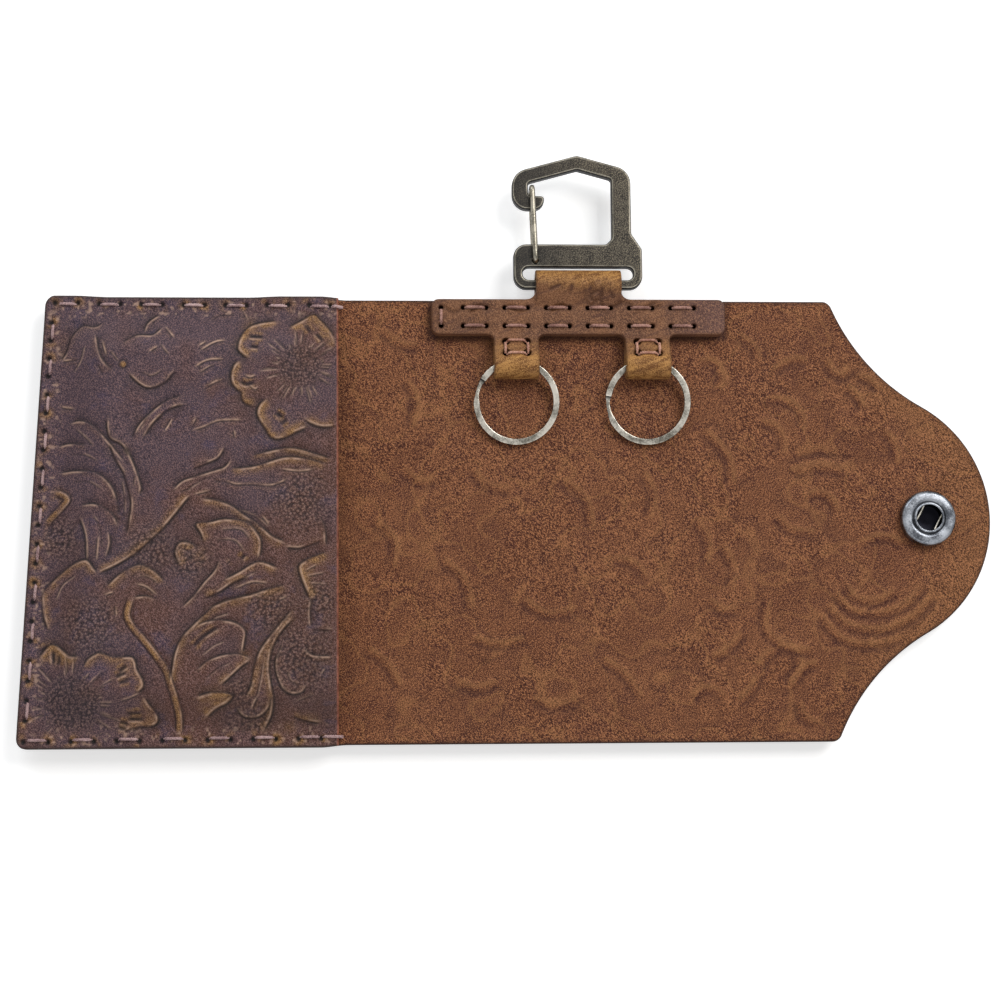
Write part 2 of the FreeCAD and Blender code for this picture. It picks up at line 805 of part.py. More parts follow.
def make_tab_thread(side):
    """Square of four stitches on the slope of one tab, with legs through both layers."""
    thread = value("size.tab_thread")
    centre = Vector(value(tab_loop_y), value(tab_loop_z), 0)
    foot = Vector(value(strip_bottom), value(strip_front), 0)
    away = foot - centre
    angle = math.atan2(away.y, away.x) + math.acos(value(tab_outer) / away.Length)
    normal = Vector(0, math.cos(angle), math.sin(angle))
    lift = normal * (thread / 2 + value("size.thread_lift"))
    end = value("size.body_leather + size.thread_lift")
    solids = []
    for legs in tab_stitches(tab_places[side]):
        spots = []
        for x, y in legs:
            rise = (foot.x - value(y)) * normal.y / normal.z
            spots.append(Vector(value(x), value(y), foot.y + rise) + Vector(0, 0, lift.Length / normal.z))
        points = [Vector(spots[0].x, spots[0].y, end), *spots, Vector(spots[1].x, spots[1].y, end)]
        solids.append(tube(points, thread, thread / 2 + value("size.thread_lift")))
    return shaped_piece(f"tab_thread_{side}", Part.makeCompound(solids))


# Hook and gate, about the strap bar's centre

hook_plate_top = "(size.hook_bar / 2 + size.hook_slot_height + size.hook_plate)"
hook_eye_top = f"({hook_plate_top} + size.hook_eye_height)"
hook_top = f"({hook_eye_top} + size.hook_rim)"
roof_slope = "(size.hook_roof_drop / size.hook_width)"
nose_bottom = f"({hook_plate_top} + size.gate_gap)"
nose_top = f"({nose_bottom} + size.nose_height)"
pivot_x = "(-(size.hook_width / 2 - size.gate_pivot_inset))"
pivot_y = f"({hook_plate_top} - size.gate_pivot_drop)"


def make_hook_frame():
    body = new_body("hook_frame")
    half = "(size.hook_width / 2)"
    bar_low = "(-size.hook_bar / 2)"
    right = "size.hook_eye_right"
    right_out = "(size.hook_eye_right + size.hook_right_bar)"
    left = "(-size.hook_eye_left)"
    left_out = "(-(size.hook_eye_left + size.hook_left_bar))"
    nose_tip = f"({left} + size.nose_length)"
    base = [(f"-{half}", hook_plate_top), (f"-{half}", bar_low), (half, bar_low)]
    flare = [
        (half, f"({hook_plate_top} - size.hook_flare_drop)"),
        (right_out, f"({hook_plate_top} + size.hook_flare_rise)"),
    ]
    right_shoulder = (right_out, f"({hook_top} - {roof_slope} * {right_out})")
    left_shoulder = (left_out, f"({hook_top} + {roof_slope} * {left_out})")
    peak = ("0", hook_top)
    nose_low = (left_out, nose_bottom)
    tip_low = (nose_tip, nose_bottom)
    lip = [(nose_tip, nose_top), (left, nose_top)]
    eye = [
        (left, f"({hook_eye_top} + {roof_slope} * {left})"),
        ("0", hook_eye_top),
        (right, f"({hook_eye_top} - {roof_slope} * {right})"),
        (right, f"({hook_plate_top} + size.hook_inner_bevel)"),
        (f"({right} - size.hook_inner_bevel)", hook_plate_top),
    ]
    sketch = sketch_on(body, "XY_Plane")
    add_outline(sketch, base + flare + [right_shoulder, peak, left_shoulder, nose_low, tip_low] + lip + eye)
    pad(body, sketch, "size.hook_thickness", middle=True)
    slot_half = "(size.hook_slot_width / 2 - size.hook_slot_height / 2)"
    slot_low = "(size.hook_bar / 2)"
    slot_high = f"({slot_low} + size.hook_slot_height)"
    slot_mid = f"({slot_low} + size.hook_slot_height / 2)"
    slot_end = "(size.hook_slot_width / 2)"
    turn = "size.hook_slot_height / 2"
    sketch = sketch_on(body, "XY_Plane")
    add_outline(sketch, [
        (f"-{slot_half}", slot_low),
        (slot_half, slot_low, turn),
        (slot_end, slot_mid, turn),
        (slot_half, slot_high),
        (f"-{slot_half}", slot_high, turn),
        (f"-{slot_end}", slot_mid, turn),
    ])
    cut_through(body, sketch)
    round_edges(body, upright_edges(body.Shape, base), "size.hook_base_corner")
    round_edges(body, upright_edges(body.Shape, [right_shoulder, left_shoulder]), "size.hook_shoulder")
    round_edges(body, upright_edges(body.Shape, [nose_low]), "size.nose_round")
    round_edges(body, upright_edges(body.Shape, [tip_low]), "size.nose_tip_round")
    round_edges(body, upright_edges(body.Shape, flare + [peak] + lip + eye), "size.hook_corner")
    # Soft edges all round the front and back faces
    faces = [
        f"Face{index}" for index, face in enumerate(body.Shape.Faces, start=1)
        if abs(face.normalAt(0, 0).z) > LEVEL_FACE_COSINE
    ]
    round_edges(body, faces, "size.hook_edge_round")
    sketch = sketch_on(body, "XY_Plane")
    add_circles(sketch, [(pivot_x, pivot_y)], "size.gate_wire / 2 + size.gate_pivot_play")
    cut_through(body, sketch)
    place(body, "size.holder_offset", bar_y, bar_z)
    return body


def make_hook_gate():
    """Wire bent to a U that straddles the frame, with both ends turned into the pivot hole."""
    side = "(size.hook_thickness / 2 + size.gate_play + size.gate_wire / 2)"
    top_x = "(-size.hook_eye_left + size.gate_wire / 2 + size.gate_play)"
    top_y = f"({nose_top} + size.gate_wire / 2 + size.gate_lift)"
    rise = Vector(value(f"{top_x} - {pivot_x}"), value(f"{top_y} - {pivot_y}"), 0)
    end = value("size.hook_thickness / 2 - size.gate_pivot_depth")
    wide = value(side)
    points = [
        Vector(0, 0, end),
        Vector(0, 0, wide),
        Vector(0, rise.Length, wide),
        Vector(0, rise.Length, -wide),
        Vector(0, 0, -wide),
        Vector(0, 0, -end),
    ]
    lean = math.degrees(math.atan2(-rise.x, rise.y))
    spot = Vector(value(f"size.holder_offset + {pivot_x}"), value(f"{bar_y} + {pivot_y}"), value(bar_z))
    shape = tube(points, value("size.gate_wire"), value("size.gate_bend"))
    return shaped_piece("hook_gate", shape, Placement(spot, Rotation(Vector(0, 0, 1), lean)))


# Split rings

def make_split_ring(side, end_degrees):
    """Flat wire wound twice: a lower turn, a ramp and an upper turn, hanging in its tab loop."""
    width = value("size.ring_wire_width")
    outer = value("size.ring_outer / 2")
    turn = value("size.ring_turn")
    step = turn + value("size.ring_slit")
    low = -(turn + step) / 2

    def section(degrees, height):
        corners = [
            Vector(outer - width, 0, height),
            Vector(outer, 0, height),
            Vector(outer, 0, height + turn),
            Vector(outer - width, 0, height + turn),
        ]
        outline = Part.makePolygon(corners + corners[:1])
        outline.rotate(Vector(), Vector(0, 0, 1), degrees)
        return outline

    def sweep(start, degrees, height):
        return Part.Face(section(start, height)).revolve(Vector(), Vector(0, 0, 1), degrees)

    plain = 360 - RING_RAMP_DEGREES
    ramp_start = end_degrees + RING_GAP_DEGREES
    steps = [index / RING_RAMP_STEPS for index in range(RING_RAMP_STEPS + 1)]
    ramp = Part.makeLoft(
        [section(ramp_start + share * RING_RAMP_DEGREES, low + share * step) for share in steps], True, True
    )
    lower = sweep(ramp_start + RING_RAMP_DEGREES + RING_GAP_DEGREES, plain - RING_GAP_DEGREES, low)
    upper = sweep(ramp_start + RING_RAMP_DEGREES, plain - RING_GAP_DEGREES, low + step)
    shape = lower.fuse(ramp).fuse(upper).removeSplitter()
    # The wire crosses the tab as an arc, so the swing axis lies half its height inside the top
    mean = outer - width / 2
    sagitta = mean - math.sqrt(mean ** 2 - value("size.tab_width / 2") ** 2)
    centre_y = sagitta / 2 - mean
    drop = value(f"{tab_loop_z} - size.body_leather - size.ring_rest_gap")
    far = mean - centre_y + width / 2
    thick = turn + step
    tilt = math.degrees(math.asin(drop / math.hypot(far, thick / 2)) - math.atan2(thick / 2, far))
    spot = Vector(value(tab_places[side]), value(tab_loop_y), value(tab_loop_z))
    hung = Placement(spot, Rotation(Vector(1, 0, 0), tilt)) * Placement(Vector(0, centre_y, 0), Rotation())
    return shaped_piece(f"split_ring_{side}", shape, hung)


# Snap fastener

def make_snap_cap():
    """Domed cap on the flap's outside; its post goes through and is spread in the socket."""
    dome = "(size.cap_height - size.cap_rim)"
    dome_radius = f"((size.cap_radius ^ 2 + {dome} ^ 2) / (2 * {dome}))"
    seat = "(size.body_leather + size.socket_floor)"
    head = f"({seat} + size.cap_head)"
    return revolved("snap_cap", [
        ("0", "-size.cap_height", dome_radius),
        ("size.cap_radius", "-size.cap_rim"),
        ("size.cap_radius", "0"),
        ("size.cap_post_radius", "0"),
        ("size.cap_post_radius", seat),
        ("size.cap_head_radius", seat),
        ("size.cap_head_radius", head),
        ("0", head),
    ], snap_x, "0", "0")


spring_height = "(size.socket_height - size.spring_depth)"
spring_x = "(size.stud_neck_radius + size.stud_neck_play + size.spring_wire / 2)"


def make_snap_socket():
    """Socket on the flap's inside, with a blind seat each side for the two spring wires."""
    face = "(size.socket_height - size.socket_lip_height)"
    lip = "(size.socket_bore + size.socket_lip)"
    body = revolved("snap_socket", [
        ("(size.cap_post_radius + size.post_play)", "0"),
        ("size.socket_radius", "0"),
        ("size.socket_radius", "size.socket_wall"),
        ("(size.socket_radius - size.socket_bevel)", face),
        (lip, face),
        (lip, "size.socket_height"),
        ("size.socket_bore", "size.socket_height"),
        ("size.socket_bore", "size.socket_floor"),
        ("(size.cap_post_radius + size.post_play)", "size.socket_floor"),
    ], snap_x, "0", "size.body_leather")
    seat = sketch_on(body, "XZ_Plane")
    places = [(f"-{spring_x}", spring_height), (spring_x, spring_height)]
    add_circles(seat, places, "size.spring_wire / 2 + size.spring_play")
    before = body.Shape.Volume
    pocket = body.newObject("PartDesign::Pocket", "SpringSeats")
    pocket.Profile = seat
    pocket.Midplane = True
    pocket.setExpression("Length", "2 * (size.socket_bore + size.spring_seat + size.spring_play)")
    doc.recompute()
    assert body.Shape.Volume < before, "snap_socket: the spring seats remove nothing"
    return body


def make_snap_spring():
    """Two parallel wires that grip the stud's neck."""
    radius = value("size.spring_wire / 2")
    reach = value("size.socket_bore + size.spring_seat")
    height = value(f"size.body_leather + {spring_height}")
    wires = []
    for sign in (-1, 1):
        start = Vector(value(snap_x) + sign * value(spring_x), -reach, height)
        wires.append(Part.makeCylinder(radius, 2 * reach, start, Vector(0, 1, 0)))
    return shaped_piece("snap_spring", Part.makeCompound(wires))


stud_height = (
    "(size.snap_play + size.socket_height - size.socket_floor - size.cap_head - size.stud_head_play)"
)
stud_neck = "(size.snap_play + size.spring_depth + size.spring_wire / 2 + size.stud_neck_play)"


def make_snap_stud():
    """Stud on the left panel's outside, with a bore for the post."""
    bore = "size.stud_bore"
    head = f"(-(size.stud_flange + {stud_neck}))"
    top = f"(-(size.stud_flange + {stud_height}))"
    return revolved("snap_stud", [
        ("0", top),
        ("size.stud_head_radius", top),
        ("size.stud_head_radius", head),
        ("size.stud_neck_radius", head),
        ("size.stud_neck_radius", "-size.stud_flange"),
        ("size.stud_flange_radius", "-size.stud_flange"),
        ("size.stud_flange_radius", "0"),
        (bore, "0"),
        (bore, f"({top} + size.stud_cap)"),
        ("0", f"({top} + size.stud_cap)"),
    ], stud_x, "0", "0")


def make_snap_post():
    """Post with a broad base inside the pocket, pressed into the stud."""
    pin = "(size.stud_bore - size.post_play)"
    base = "(size.body_leather + size.post_base)"
    end = f"(-(size.stud_flange + {stud_height}) + size.stud_cap + size.post_play)"
    return revolved("snap_post", [
        ("0", end),
        (pin, end),
        (pin, "size.body_leather"),
        ("size.post_base_radius", "size.body_leather"),
        ("size.post_base_radius", base),
        ("0", base),
    ], stud_x, "0", "0")


pieces = [
    make_middle_panel(),
    make_spine("left_spine", f"-{left_fold}", f"-{middle_edge}"),
    make_left_panel(),
    make_spine("right_spine", middle_edge, flap_fold),
    make_closing_flap(),
    make_pocket_panel(),
    make_holder_strip(),
    *make_pocket_threads(),
    make_holder_thread(),
    make_tab_thread("left"),
    make_tab_thread("right"),
    make_hook_frame(),
    make_hook_gate(),
    make_split_ring("left", RING_LEFT_END_DEGREES),
    make_split_ring("right", RING_RIGHT_END_DEGREES),
    make_snap_cap(),
    make_snap_socket(),
    make_snap_spring(),
    make_snap_stud(),
    make_snap_post(),
]
doc.recompute()

# Every object has to be sound before anything is written
for item in doc.Objects:
    assert not {"Invalid", "Error"} & set(item.State), f"{item.Label}: {item.State}"
for piece in pieces:
    assert not piece.Shape.isNull() and piece.Shape.isValid(), f"{piece.Label}: bad shape"

os.makedirs("parts", exist_ok=True)
for piece in pieces:
    piece.Shape.exportStep(f"parts/{piece.Label}.step")
    box = piece.Shape.BoundBox
    corners = [round(edge, 2) for edge in (box.XMin, box.YMin, box.ZMin, box.XMax, box.YMax, box.ZMax)]
    print(piece.Label, len(piece.Shape.Solids), round(piece.Shape.Volume, 2), corners)
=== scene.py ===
import math

import bmesh
import bpy
import numpy as np
from mathutils import Matrix


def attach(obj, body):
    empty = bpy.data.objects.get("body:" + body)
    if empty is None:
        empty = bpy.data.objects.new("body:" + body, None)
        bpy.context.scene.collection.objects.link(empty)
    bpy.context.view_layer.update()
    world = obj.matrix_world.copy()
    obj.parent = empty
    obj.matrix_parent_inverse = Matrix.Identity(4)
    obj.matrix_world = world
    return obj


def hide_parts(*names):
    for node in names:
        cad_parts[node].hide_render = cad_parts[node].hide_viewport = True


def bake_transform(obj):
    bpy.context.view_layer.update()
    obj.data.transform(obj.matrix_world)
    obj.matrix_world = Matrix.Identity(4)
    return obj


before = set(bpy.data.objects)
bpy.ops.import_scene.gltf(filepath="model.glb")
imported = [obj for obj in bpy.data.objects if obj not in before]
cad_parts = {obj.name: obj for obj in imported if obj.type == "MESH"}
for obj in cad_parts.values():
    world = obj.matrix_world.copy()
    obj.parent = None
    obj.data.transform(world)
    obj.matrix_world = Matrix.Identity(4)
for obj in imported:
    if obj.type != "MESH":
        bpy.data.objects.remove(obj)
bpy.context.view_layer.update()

# Lengths are in millimetres up to the point where a mesh is made
MM = 0.001
FULL_TURN = 2 * math.pi

# The leather sheet: half its height, its thickness, its creases and half the width of a bend
HALF = 49.25
SHEET = 2.0
LEFT_OUTER, LEFT_INNER = -49.8, -35.8
RIGHT_INNER, RIGHT_OUTER = 35.8, 56.1

# Its outline: reach of the left side at the foot and what it loses up to the head, rounding of the
# corners, and the round tip, hollow neck and shoulder of the flap
LEFT_REACH, LEFT_LEAN = 120.8, 5.2
LEFT_CORNER, RIGHT_CORNER = 2.2, 1.4
TIP_X, TIP_R, NECK_R = 64.25, 29.2, 46.7
SHOULDER_X = 58.2

# How far the cover's border stands out, over what width at its side and from its crease, over what
# width at its head and foot, and the stretch beside the hook where it is drawn in by a share
SPREAD, SPREAD_SIDE, SPREAD_ENDS = 0.5, 6.0, 5.0
BESIDE_HOOK = (-110, -102, -72, -64)
DRAWN_IN = 0.6

# The pocket: its mouth, the tops of its sewn border and of its front, and its leather; then where the
# flat seam ends, where the soft rise behind it ends, and how much the front sags and sways
MOUTH = -51.8
BORDER_TOP, FRONT = 3.8, 8.7
POCKET_LEATHER = 1.8
SEAM_END, RISE_END_Y, RISE_END_X = 2.8, 13.0, 15.0
FRONT_SAG, FRONT_SWAY = 0.15, 0.25

# The snap, the holder strip (left, right, foot, head and top) and its tabs for the rings
SNAP_X, STUD_X = 79.0, -98.5
STRIP_BOX = (-31.2, 34.2, 41.05, 49.05)
STRIP_TOP = 4.9
TAB_PLACES = {"left": -12.5, "right": 16.7}

# The photograph's camera, found from landmarks of the case
PHOTO = 1000
FOCAL_PX = 2540.0
SENSOR = 36.0
DISTANCE = 560.0
TARGET = np.array([-16.283, 4.277, 3.0])
SOUTH, WEST, ROLL = (math.radians(a) for a in (7.096, 3.44, -0.508))
# Rounds in which a place on the pocket's curved front is found
SIGHT_ROUNDS = 4


def camera_axes():
    """Right, up and back of the photograph's camera."""
    back = np.array([-math.sin(WEST), -math.sin(SOUTH), 0.0])
    back[2] = math.sqrt(1 - back @ back)
    level = unit(np.cross((0, 1, 0), back))
    rise = np.cross(back, level)
    right = level * math.cos(ROLL) + rise * math.sin(ROLL)
    up = rise * math.cos(ROLL) - level * math.sin(ROLL)
    return right, up, back


def on_level(px, z):
    """Places, at height z, that the camera sees at these pixels of the photograph."""
    px = np.asarray(px, float)
    ray = RIGHT * (px[:, :1] - PHOTO / 2) - UP * (px[:, 1:] - PHOTO / 2) - BACK * FOCAL_PX
    reach = (z - EYE[2]) / ray[:, 2]
    return (EYE + ray * reach[:, None])[:, :2]


# Small helpers on arrays

NOISE_CELLS = 64


def unit(vectors):
    vectors = np.asarray(vectors, float)
    return vectors / np.linalg.norm(vectors, axis=-1, keepdims=True)


def smoothstep(a, b, x):
    t = np.clip((x - a) / (b - a), 0, 1)
    return t * t * (3 - 2 * t)


def bell(x, middle, width, power=2):
    """1 at the middle, falling off over the width."""
    return np.exp(-((x - middle) / width) ** power)


def round_over(distance, radius):
    """How far a surface or an outline draws back at this distance from a rounded edge."""
    into = np.clip(radius - distance, 0, radius)
    return radius - np.sqrt(radius ** 2 - into ** 2)


def between_four(field, j, i, fv, fu):
    """Value of a field between four of its points. Beyond its last point it starts again."""
    rows, cols = field.shape
    low = field[j % rows, i % cols] * (1 - fu) + field[j % rows, (i + 1) % cols] * fu
    high = field[(j + 1) % rows, i % cols] * (1 - fu) + field[(j + 1) % rows, (i + 1) % cols] * fu
    return low * (1 - fv) + high * fv


def soft_noise(x, y, size, seed):
    """Smooth noise from 0 to 1 with features of the given size."""
    lattice = np.random.default_rng(seed).random((NOISE_CELLS, NOISE_CELLS))
    u, v = np.asarray(x) / size, np.asarray(y) / size
    i, j = np.floor(u).astype(int), np.floor(v).astype(int)
    return between_four(lattice, j, i, smoothstep(0, 1, v - j), smoothstep(0, 1, u - i))


def pebbles(x, y, size, seed):
    """Distance to the nearest of evenly strewn points, in shares of their spacing."""
    shift = np.random.default_rng(seed).random((NOISE_CELLS, NOISE_CELLS, 2))
    u, v = x / size, y / size
    i, j = np.floor(u).astype(int), np.floor(v).astype(int)
    far = np.full(np.shape(x), np.inf)
    for di in (-1, 0, 1):
        for dj in (-1, 0, 1):
            spot = shift[(j + dj) % NOISE_CELLS, (i + di) % NOISE_CELLS]
            far = np.minimum(far, np.hypot(i + di + spot[..., 0] - u, j + dj + spot[..., 1] - v))
    return far


def blur(field, rounds):
    for _ in range(rounds):
        for axis in (0, 1):
            field = (np.roll(field, 1, axis) + 2 * field + np.roll(field, -1, axis)) / 4
    return field


def run_along(line):
    """Way covered along a line up to each of its points."""
    return np.concatenate([[0], np.cumsum(np.linalg.norm(np.diff(line, axis=0), axis=1))])


def smooth_line(points, step):
    """A line through the points, bent smoothly, with its own points a step apart."""
    p = np.asarray(points, float)
    p = np.vstack([2 * p[0] - p[1], p, 2 * p[-1] - p[-2]])
    line = [p[1]]
    for a, b, c, d in zip(p[:-3], p[1:-2], p[2:-1], p[3:]):
        n = max(2, int(np.linalg.norm(c - b) / step) + 1)
        t = (np.arange(1, n + 1) / n)[:, None]
        line.extend(0.5 * (2 * b + (c - a) * t + (2 * a - 5 * b + 4 * c - d) * t ** 2
                           + (3 * b - a - 3 * c + d) * t ** 3))
    return np.array(line)


RIGHT, UP, BACK = camera_axes()
EYE = TARGET + BACK * DISTANCE


# Outline of the open case

def left_line(y):
    """The straight left side, which leans in towards the head."""
    return -(LEFT_REACH - LEFT_LEAN * (0.5 + np.asarray(y) / (2 * HALF)))


def left_edge(y):
    return left_line(y) + round_over(HALF - np.abs(y), LEFT_CORNER)


def neck_centre():
    """Centre of the flap's hollow neck, which touches the round tip and ends at the shoulder."""
    gap = np.array([SHOULDER_X - TIP_X, HALF])
    span = np.linalg.norm(gap)
    along = ((TIP_R + NECK_R) ** 2 - NECK_R ** 2 + span ** 2) / (2 * span)
    off = math.sqrt((TIP_R + NECK_R) ** 2 - along ** 2)
    way = gap / span
    return np.array([TIP_X, 0]) + way * along + np.array([way[1], -way[0]]) * off


NECK = neck_centre()


def right_edge(y):
    y = np.abs(np.asarray(y, float))
    meet = NECK[1] * TIP_R / (TIP_R + NECK_R)
    tip = TIP_X + np.sqrt(np.clip(TIP_R ** 2 - y ** 2, 0, None))
    neck = NECK[0] - np.sqrt(np.clip(NECK_R ** 2 - (y - NECK[1]) ** 2, 0, None))
    return np.where(y < meet, tip, neck) - round_over(HALF - y, RIGHT_CORNER)


def spread(x, y):
    """Places of the cover's border, which the sewing has pressed a little outwards."""
    a, b, c, d = BESIDE_HOOK
    cover = smoothstep(LEFT_OUTER, LEFT_OUTER - SPREAD_SIDE, x)
    cover = cover * (1 - DRAWN_IN * smoothstep(a, b, x) * smoothstep(d, c, x) * (y > 0))
    wide_y = y + np.sign(y) * SPREAD * cover * smoothstep(HALF - SPREAD_ENDS, HALF, np.abs(y))
    return x - SPREAD * smoothstep(SPREAD_SIDE, 0, x - left_edge(y)), wide_y


def pocket_height(x, y):
    """Height of the pocket's front: flat along the seam, then a soft rise to the full front."""
    x, y = np.asarray(x, float), np.asarray(y, float)
    rise = (smoothstep(SEAM_END, RISE_END_Y, HALF - y) * smoothstep(SEAM_END, RISE_END_Y, HALF + y)
            * smoothstep(SEAM_END, RISE_END_X, x - left_line(y)))
    sway = FRONT_SWAY * (soft_noise(x + 200, y + 200, 17, 3) - 0.5) * rise
    return BORDER_TOP + (FRONT - FRONT_SAG - BORDER_TOP) * rise + sway


def on_pocket(px):
    """Places on the pocket's front that the camera sees at these pixels."""
    z = np.full(len(px), FRONT)
    for _ in range(SIGHT_ROUNDS):
        place = on_level(px, z)
        z = pocket_height(place[:, 0], place[:, 1])
    return place


# Floral tooling, as strokes in pixels of the photograph. An edge has its raised side on its left.

# Edges rubbed to gold: the large flower, a curl and a broad petal
GOLD_EDGES = [
    [(277, 321), (261, 323), (251, 326), (244, 332), (239, 341), (238, 349), (242, 354), (249, 359)],
    [(239, 360), (234, 365), (231, 374), (232, 383), (237, 389), (241, 392), (242, 399), (247, 404),
     (255, 406)],
    [(267, 398), (260, 404), (257, 412), (259, 419), (265, 428), (270, 436), (277, 439), (286, 437),
     (296, 432), (308, 427)],
    [(337, 347), (334, 337), (327, 327), (320, 320), (313, 315), (299, 322), (288, 328)],
    [(195, 550), (194, 546), (187, 542), (179, 543), (175, 550), (176, 558), (181, 567)],
    [(327, 552), (316, 556), (306, 560), (299, 566), (300, 574), (304, 585), (311, 601)],
    [(79, 657), (69, 656), (64, 652), (58, 647), (51, 645), (46, 649), (39, 659)],
    [(206, 718), (216, 709), (227, 703), (232, 696), (223, 693), (210, 693), (196, 697)],
]
# Edges with a little tan on them
TAN_EDGES = [
    [(304, 419), (312, 424), (323, 427), (336, 426)],
    [(99, 573), (116, 565), (134, 554), (150, 540), (162, 529), (175, 514), (187, 499), (192, 496)],
    [(98, 573), (93, 568), (86, 560), (74, 564), (60, 575), (49, 586), (43, 596), (44, 615), (48, 630)],
    [(165, 582), (154, 571), (141, 565), (129, 568), (116, 577), (106, 587)],
    [(332, 459), (316, 454), (299, 449), (285, 448), (265, 452), (252, 456)],
    [(326, 464), (307, 459), (293, 457), (281, 458), (268, 462), (255, 466), (241, 468), (230, 468)],
    [(285, 542), (272, 536), (264, 529), (254, 521), (243, 514), (232, 506), (219, 501), (202, 498)],
    [(259, 558), (261, 547), (260, 538), (254, 529), (248, 523), (237, 520), (223, 519), (210, 522),
     (196, 524), (201, 534), (204, 543)],
    [(278, 568), (262, 562), (252, 564), (239, 572), (225, 579)],
    [(204, 598), (219, 592), (234, 582), (249, 576)],
    [(285, 585), (265, 590), (250, 595), (227, 601), (210, 607)],
    [(254, 594), (234, 598), (217, 604), (204, 615), (193, 625), (182, 637), (175, 652), (172, 668),
     (169, 683)],
    [(136, 694), (143, 687), (142, 679), (137, 670), (135, 661), (131, 657), (122, 657), (112, 657),
     (100, 653), (94, 655), (87, 660), (83, 668)],
    [(123, 731), (138, 727), (152, 726), (158, 721), (156, 713), (150, 706), (144, 697)],
    [(220, 686), (230, 677), (241, 667), (251, 660)],
    [(292, 609), (283, 620), (269, 637), (259, 652), (254, 668), (251, 685), (246, 696)],
    [(292, 716), (308, 721), (321, 723)],
    [(263, 732), (271, 716), (273, 699), (271, 685), (269, 668), (271, 652), (277, 638), (285, 627),
     (293, 619)],
]
# Edges in the leather's own colour
PLAIN_EDGES = [
    [(162, 327), (157, 332), (151, 335), (139, 335), (130, 338), (123, 343)],
    [(160, 315), (154, 318), (147, 324), (144, 332)],
    [(128, 373), (136, 381), (145, 387), (155, 387), (166, 381), (175, 370)],
    [(103, 323), (95, 327), (84, 326), (77, 331), (71, 339), (67, 352), (61, 362)],
    [(114, 370), (105, 363), (99, 352), (96, 334)],
    [(182, 395), (166, 401), (151, 412), (138, 426), (132, 439)],
    [(144, 437), (153, 423), (166, 411), (177, 406), (185, 405)],
    [(123, 460), (117, 452), (108, 441), (99, 431), (88, 423), (79, 421), (71, 423)],
    [(107, 418), (107, 428), (110, 438), (122, 445), (130, 457)], [(87, 445), (69, 444), (58, 447)],
    [(118, 516), (117, 502), (113, 489), (104, 478), (93, 472), (76, 471), (60, 473)],
    [(109, 443), (116, 460), (123, 472), (127, 485), (131, 502), (129, 520), (127, 534)],
    [(139, 496), (141, 487), (136, 470), (129, 454), (123, 446)],
    [(118, 525), (112, 514), (98, 505), (88, 504), (79, 506)], [(80, 518), (85, 535), (86, 552), (86, 560)],
    [(106, 558), (110, 544), (109, 531)], [(192, 469), (210, 462), (219, 457), (225, 447)],
    [(230, 460), (224, 467), (212, 471), (193, 477), (182, 481), (173, 489)],
    [(219, 560), (214, 571), (204, 582), (193, 596), (182, 607)], [(326, 547), (325, 529), (321, 518)],
    [(285, 547), (299, 548), (312, 544), (322, 540)],
    [(242, 654), (244, 644), (245, 631), (236, 623), (219, 620), (205, 622), (196, 626)],
    [(251, 658), (239, 654), (230, 654), (219, 656), (207, 661), (197, 670)],
    [(235, 704), (239, 712), (245, 717), (254, 718), (263, 714), (269, 706), (270, 695)],
    [(277, 652), (275, 666), (278, 679), (283, 689), (292, 694), (302, 692), (307, 685)],
    [(311, 628), (310, 612), (312, 597)], [(311, 629), (332, 630)], [(332, 656), (313, 655), (303, 647)],
    [(156, 599), (146, 596), (134, 597)],
]
# Thin cuts, with a painted highlight along their left
LINES = [
    [(200, 346), (207, 342)], [(201, 351), (215, 343), (226, 341)], [(195, 368), (208, 361), (225, 360)],
    [(199, 374), (210, 367), (217, 365)], [(203, 390), (215, 383), (224, 380)],
    [(212, 321), (219, 316), (235, 315)], [(239, 308), (244, 315), (247, 321)],
    [(97, 536), (96, 549), (95, 560)], [(193, 431), (203, 428), (217, 422), (230, 421), (241, 421)],
    [(212, 481), (225, 482), (236, 485), (252, 485), (272, 486), (288, 480)], [(179, 492), (192, 488)],
    [(195, 495), (212, 491)], [(234, 590), (252, 583), (268, 584)],
    [(252, 595), (265, 600), (277, 601), (288, 597)], [(252, 710), (258, 697)],
    [(120, 702), (132, 698), (140, 694)], [(97, 364), (103, 374)], [(101, 341), (105, 356)],
    [(164, 327), (173, 338)], [(37, 381), (53, 382), (61, 380)], [(244, 376), (250, 378), (256, 376)],
    [(248, 385), (255, 390), (259, 387)], [(233, 430), (234, 439)], [(192, 428), (197, 418)],
    [(136, 585), (146, 588), (156, 596)], [(104, 596), (114, 593)], [(311, 477), (325, 480)],
    [(261, 516), (268, 525)], [(227, 564), (231, 560)], [(114, 606), (115, 616)], [(296, 702), (315, 695)],
    [(322, 675), (326, 669)], [(171, 418), (164, 430)], [(63, 362), (79, 360)], [(150, 352), (158, 347)],
    [(61, 408), (74, 410)], [(281, 470), (300, 472), (315, 470)],
]
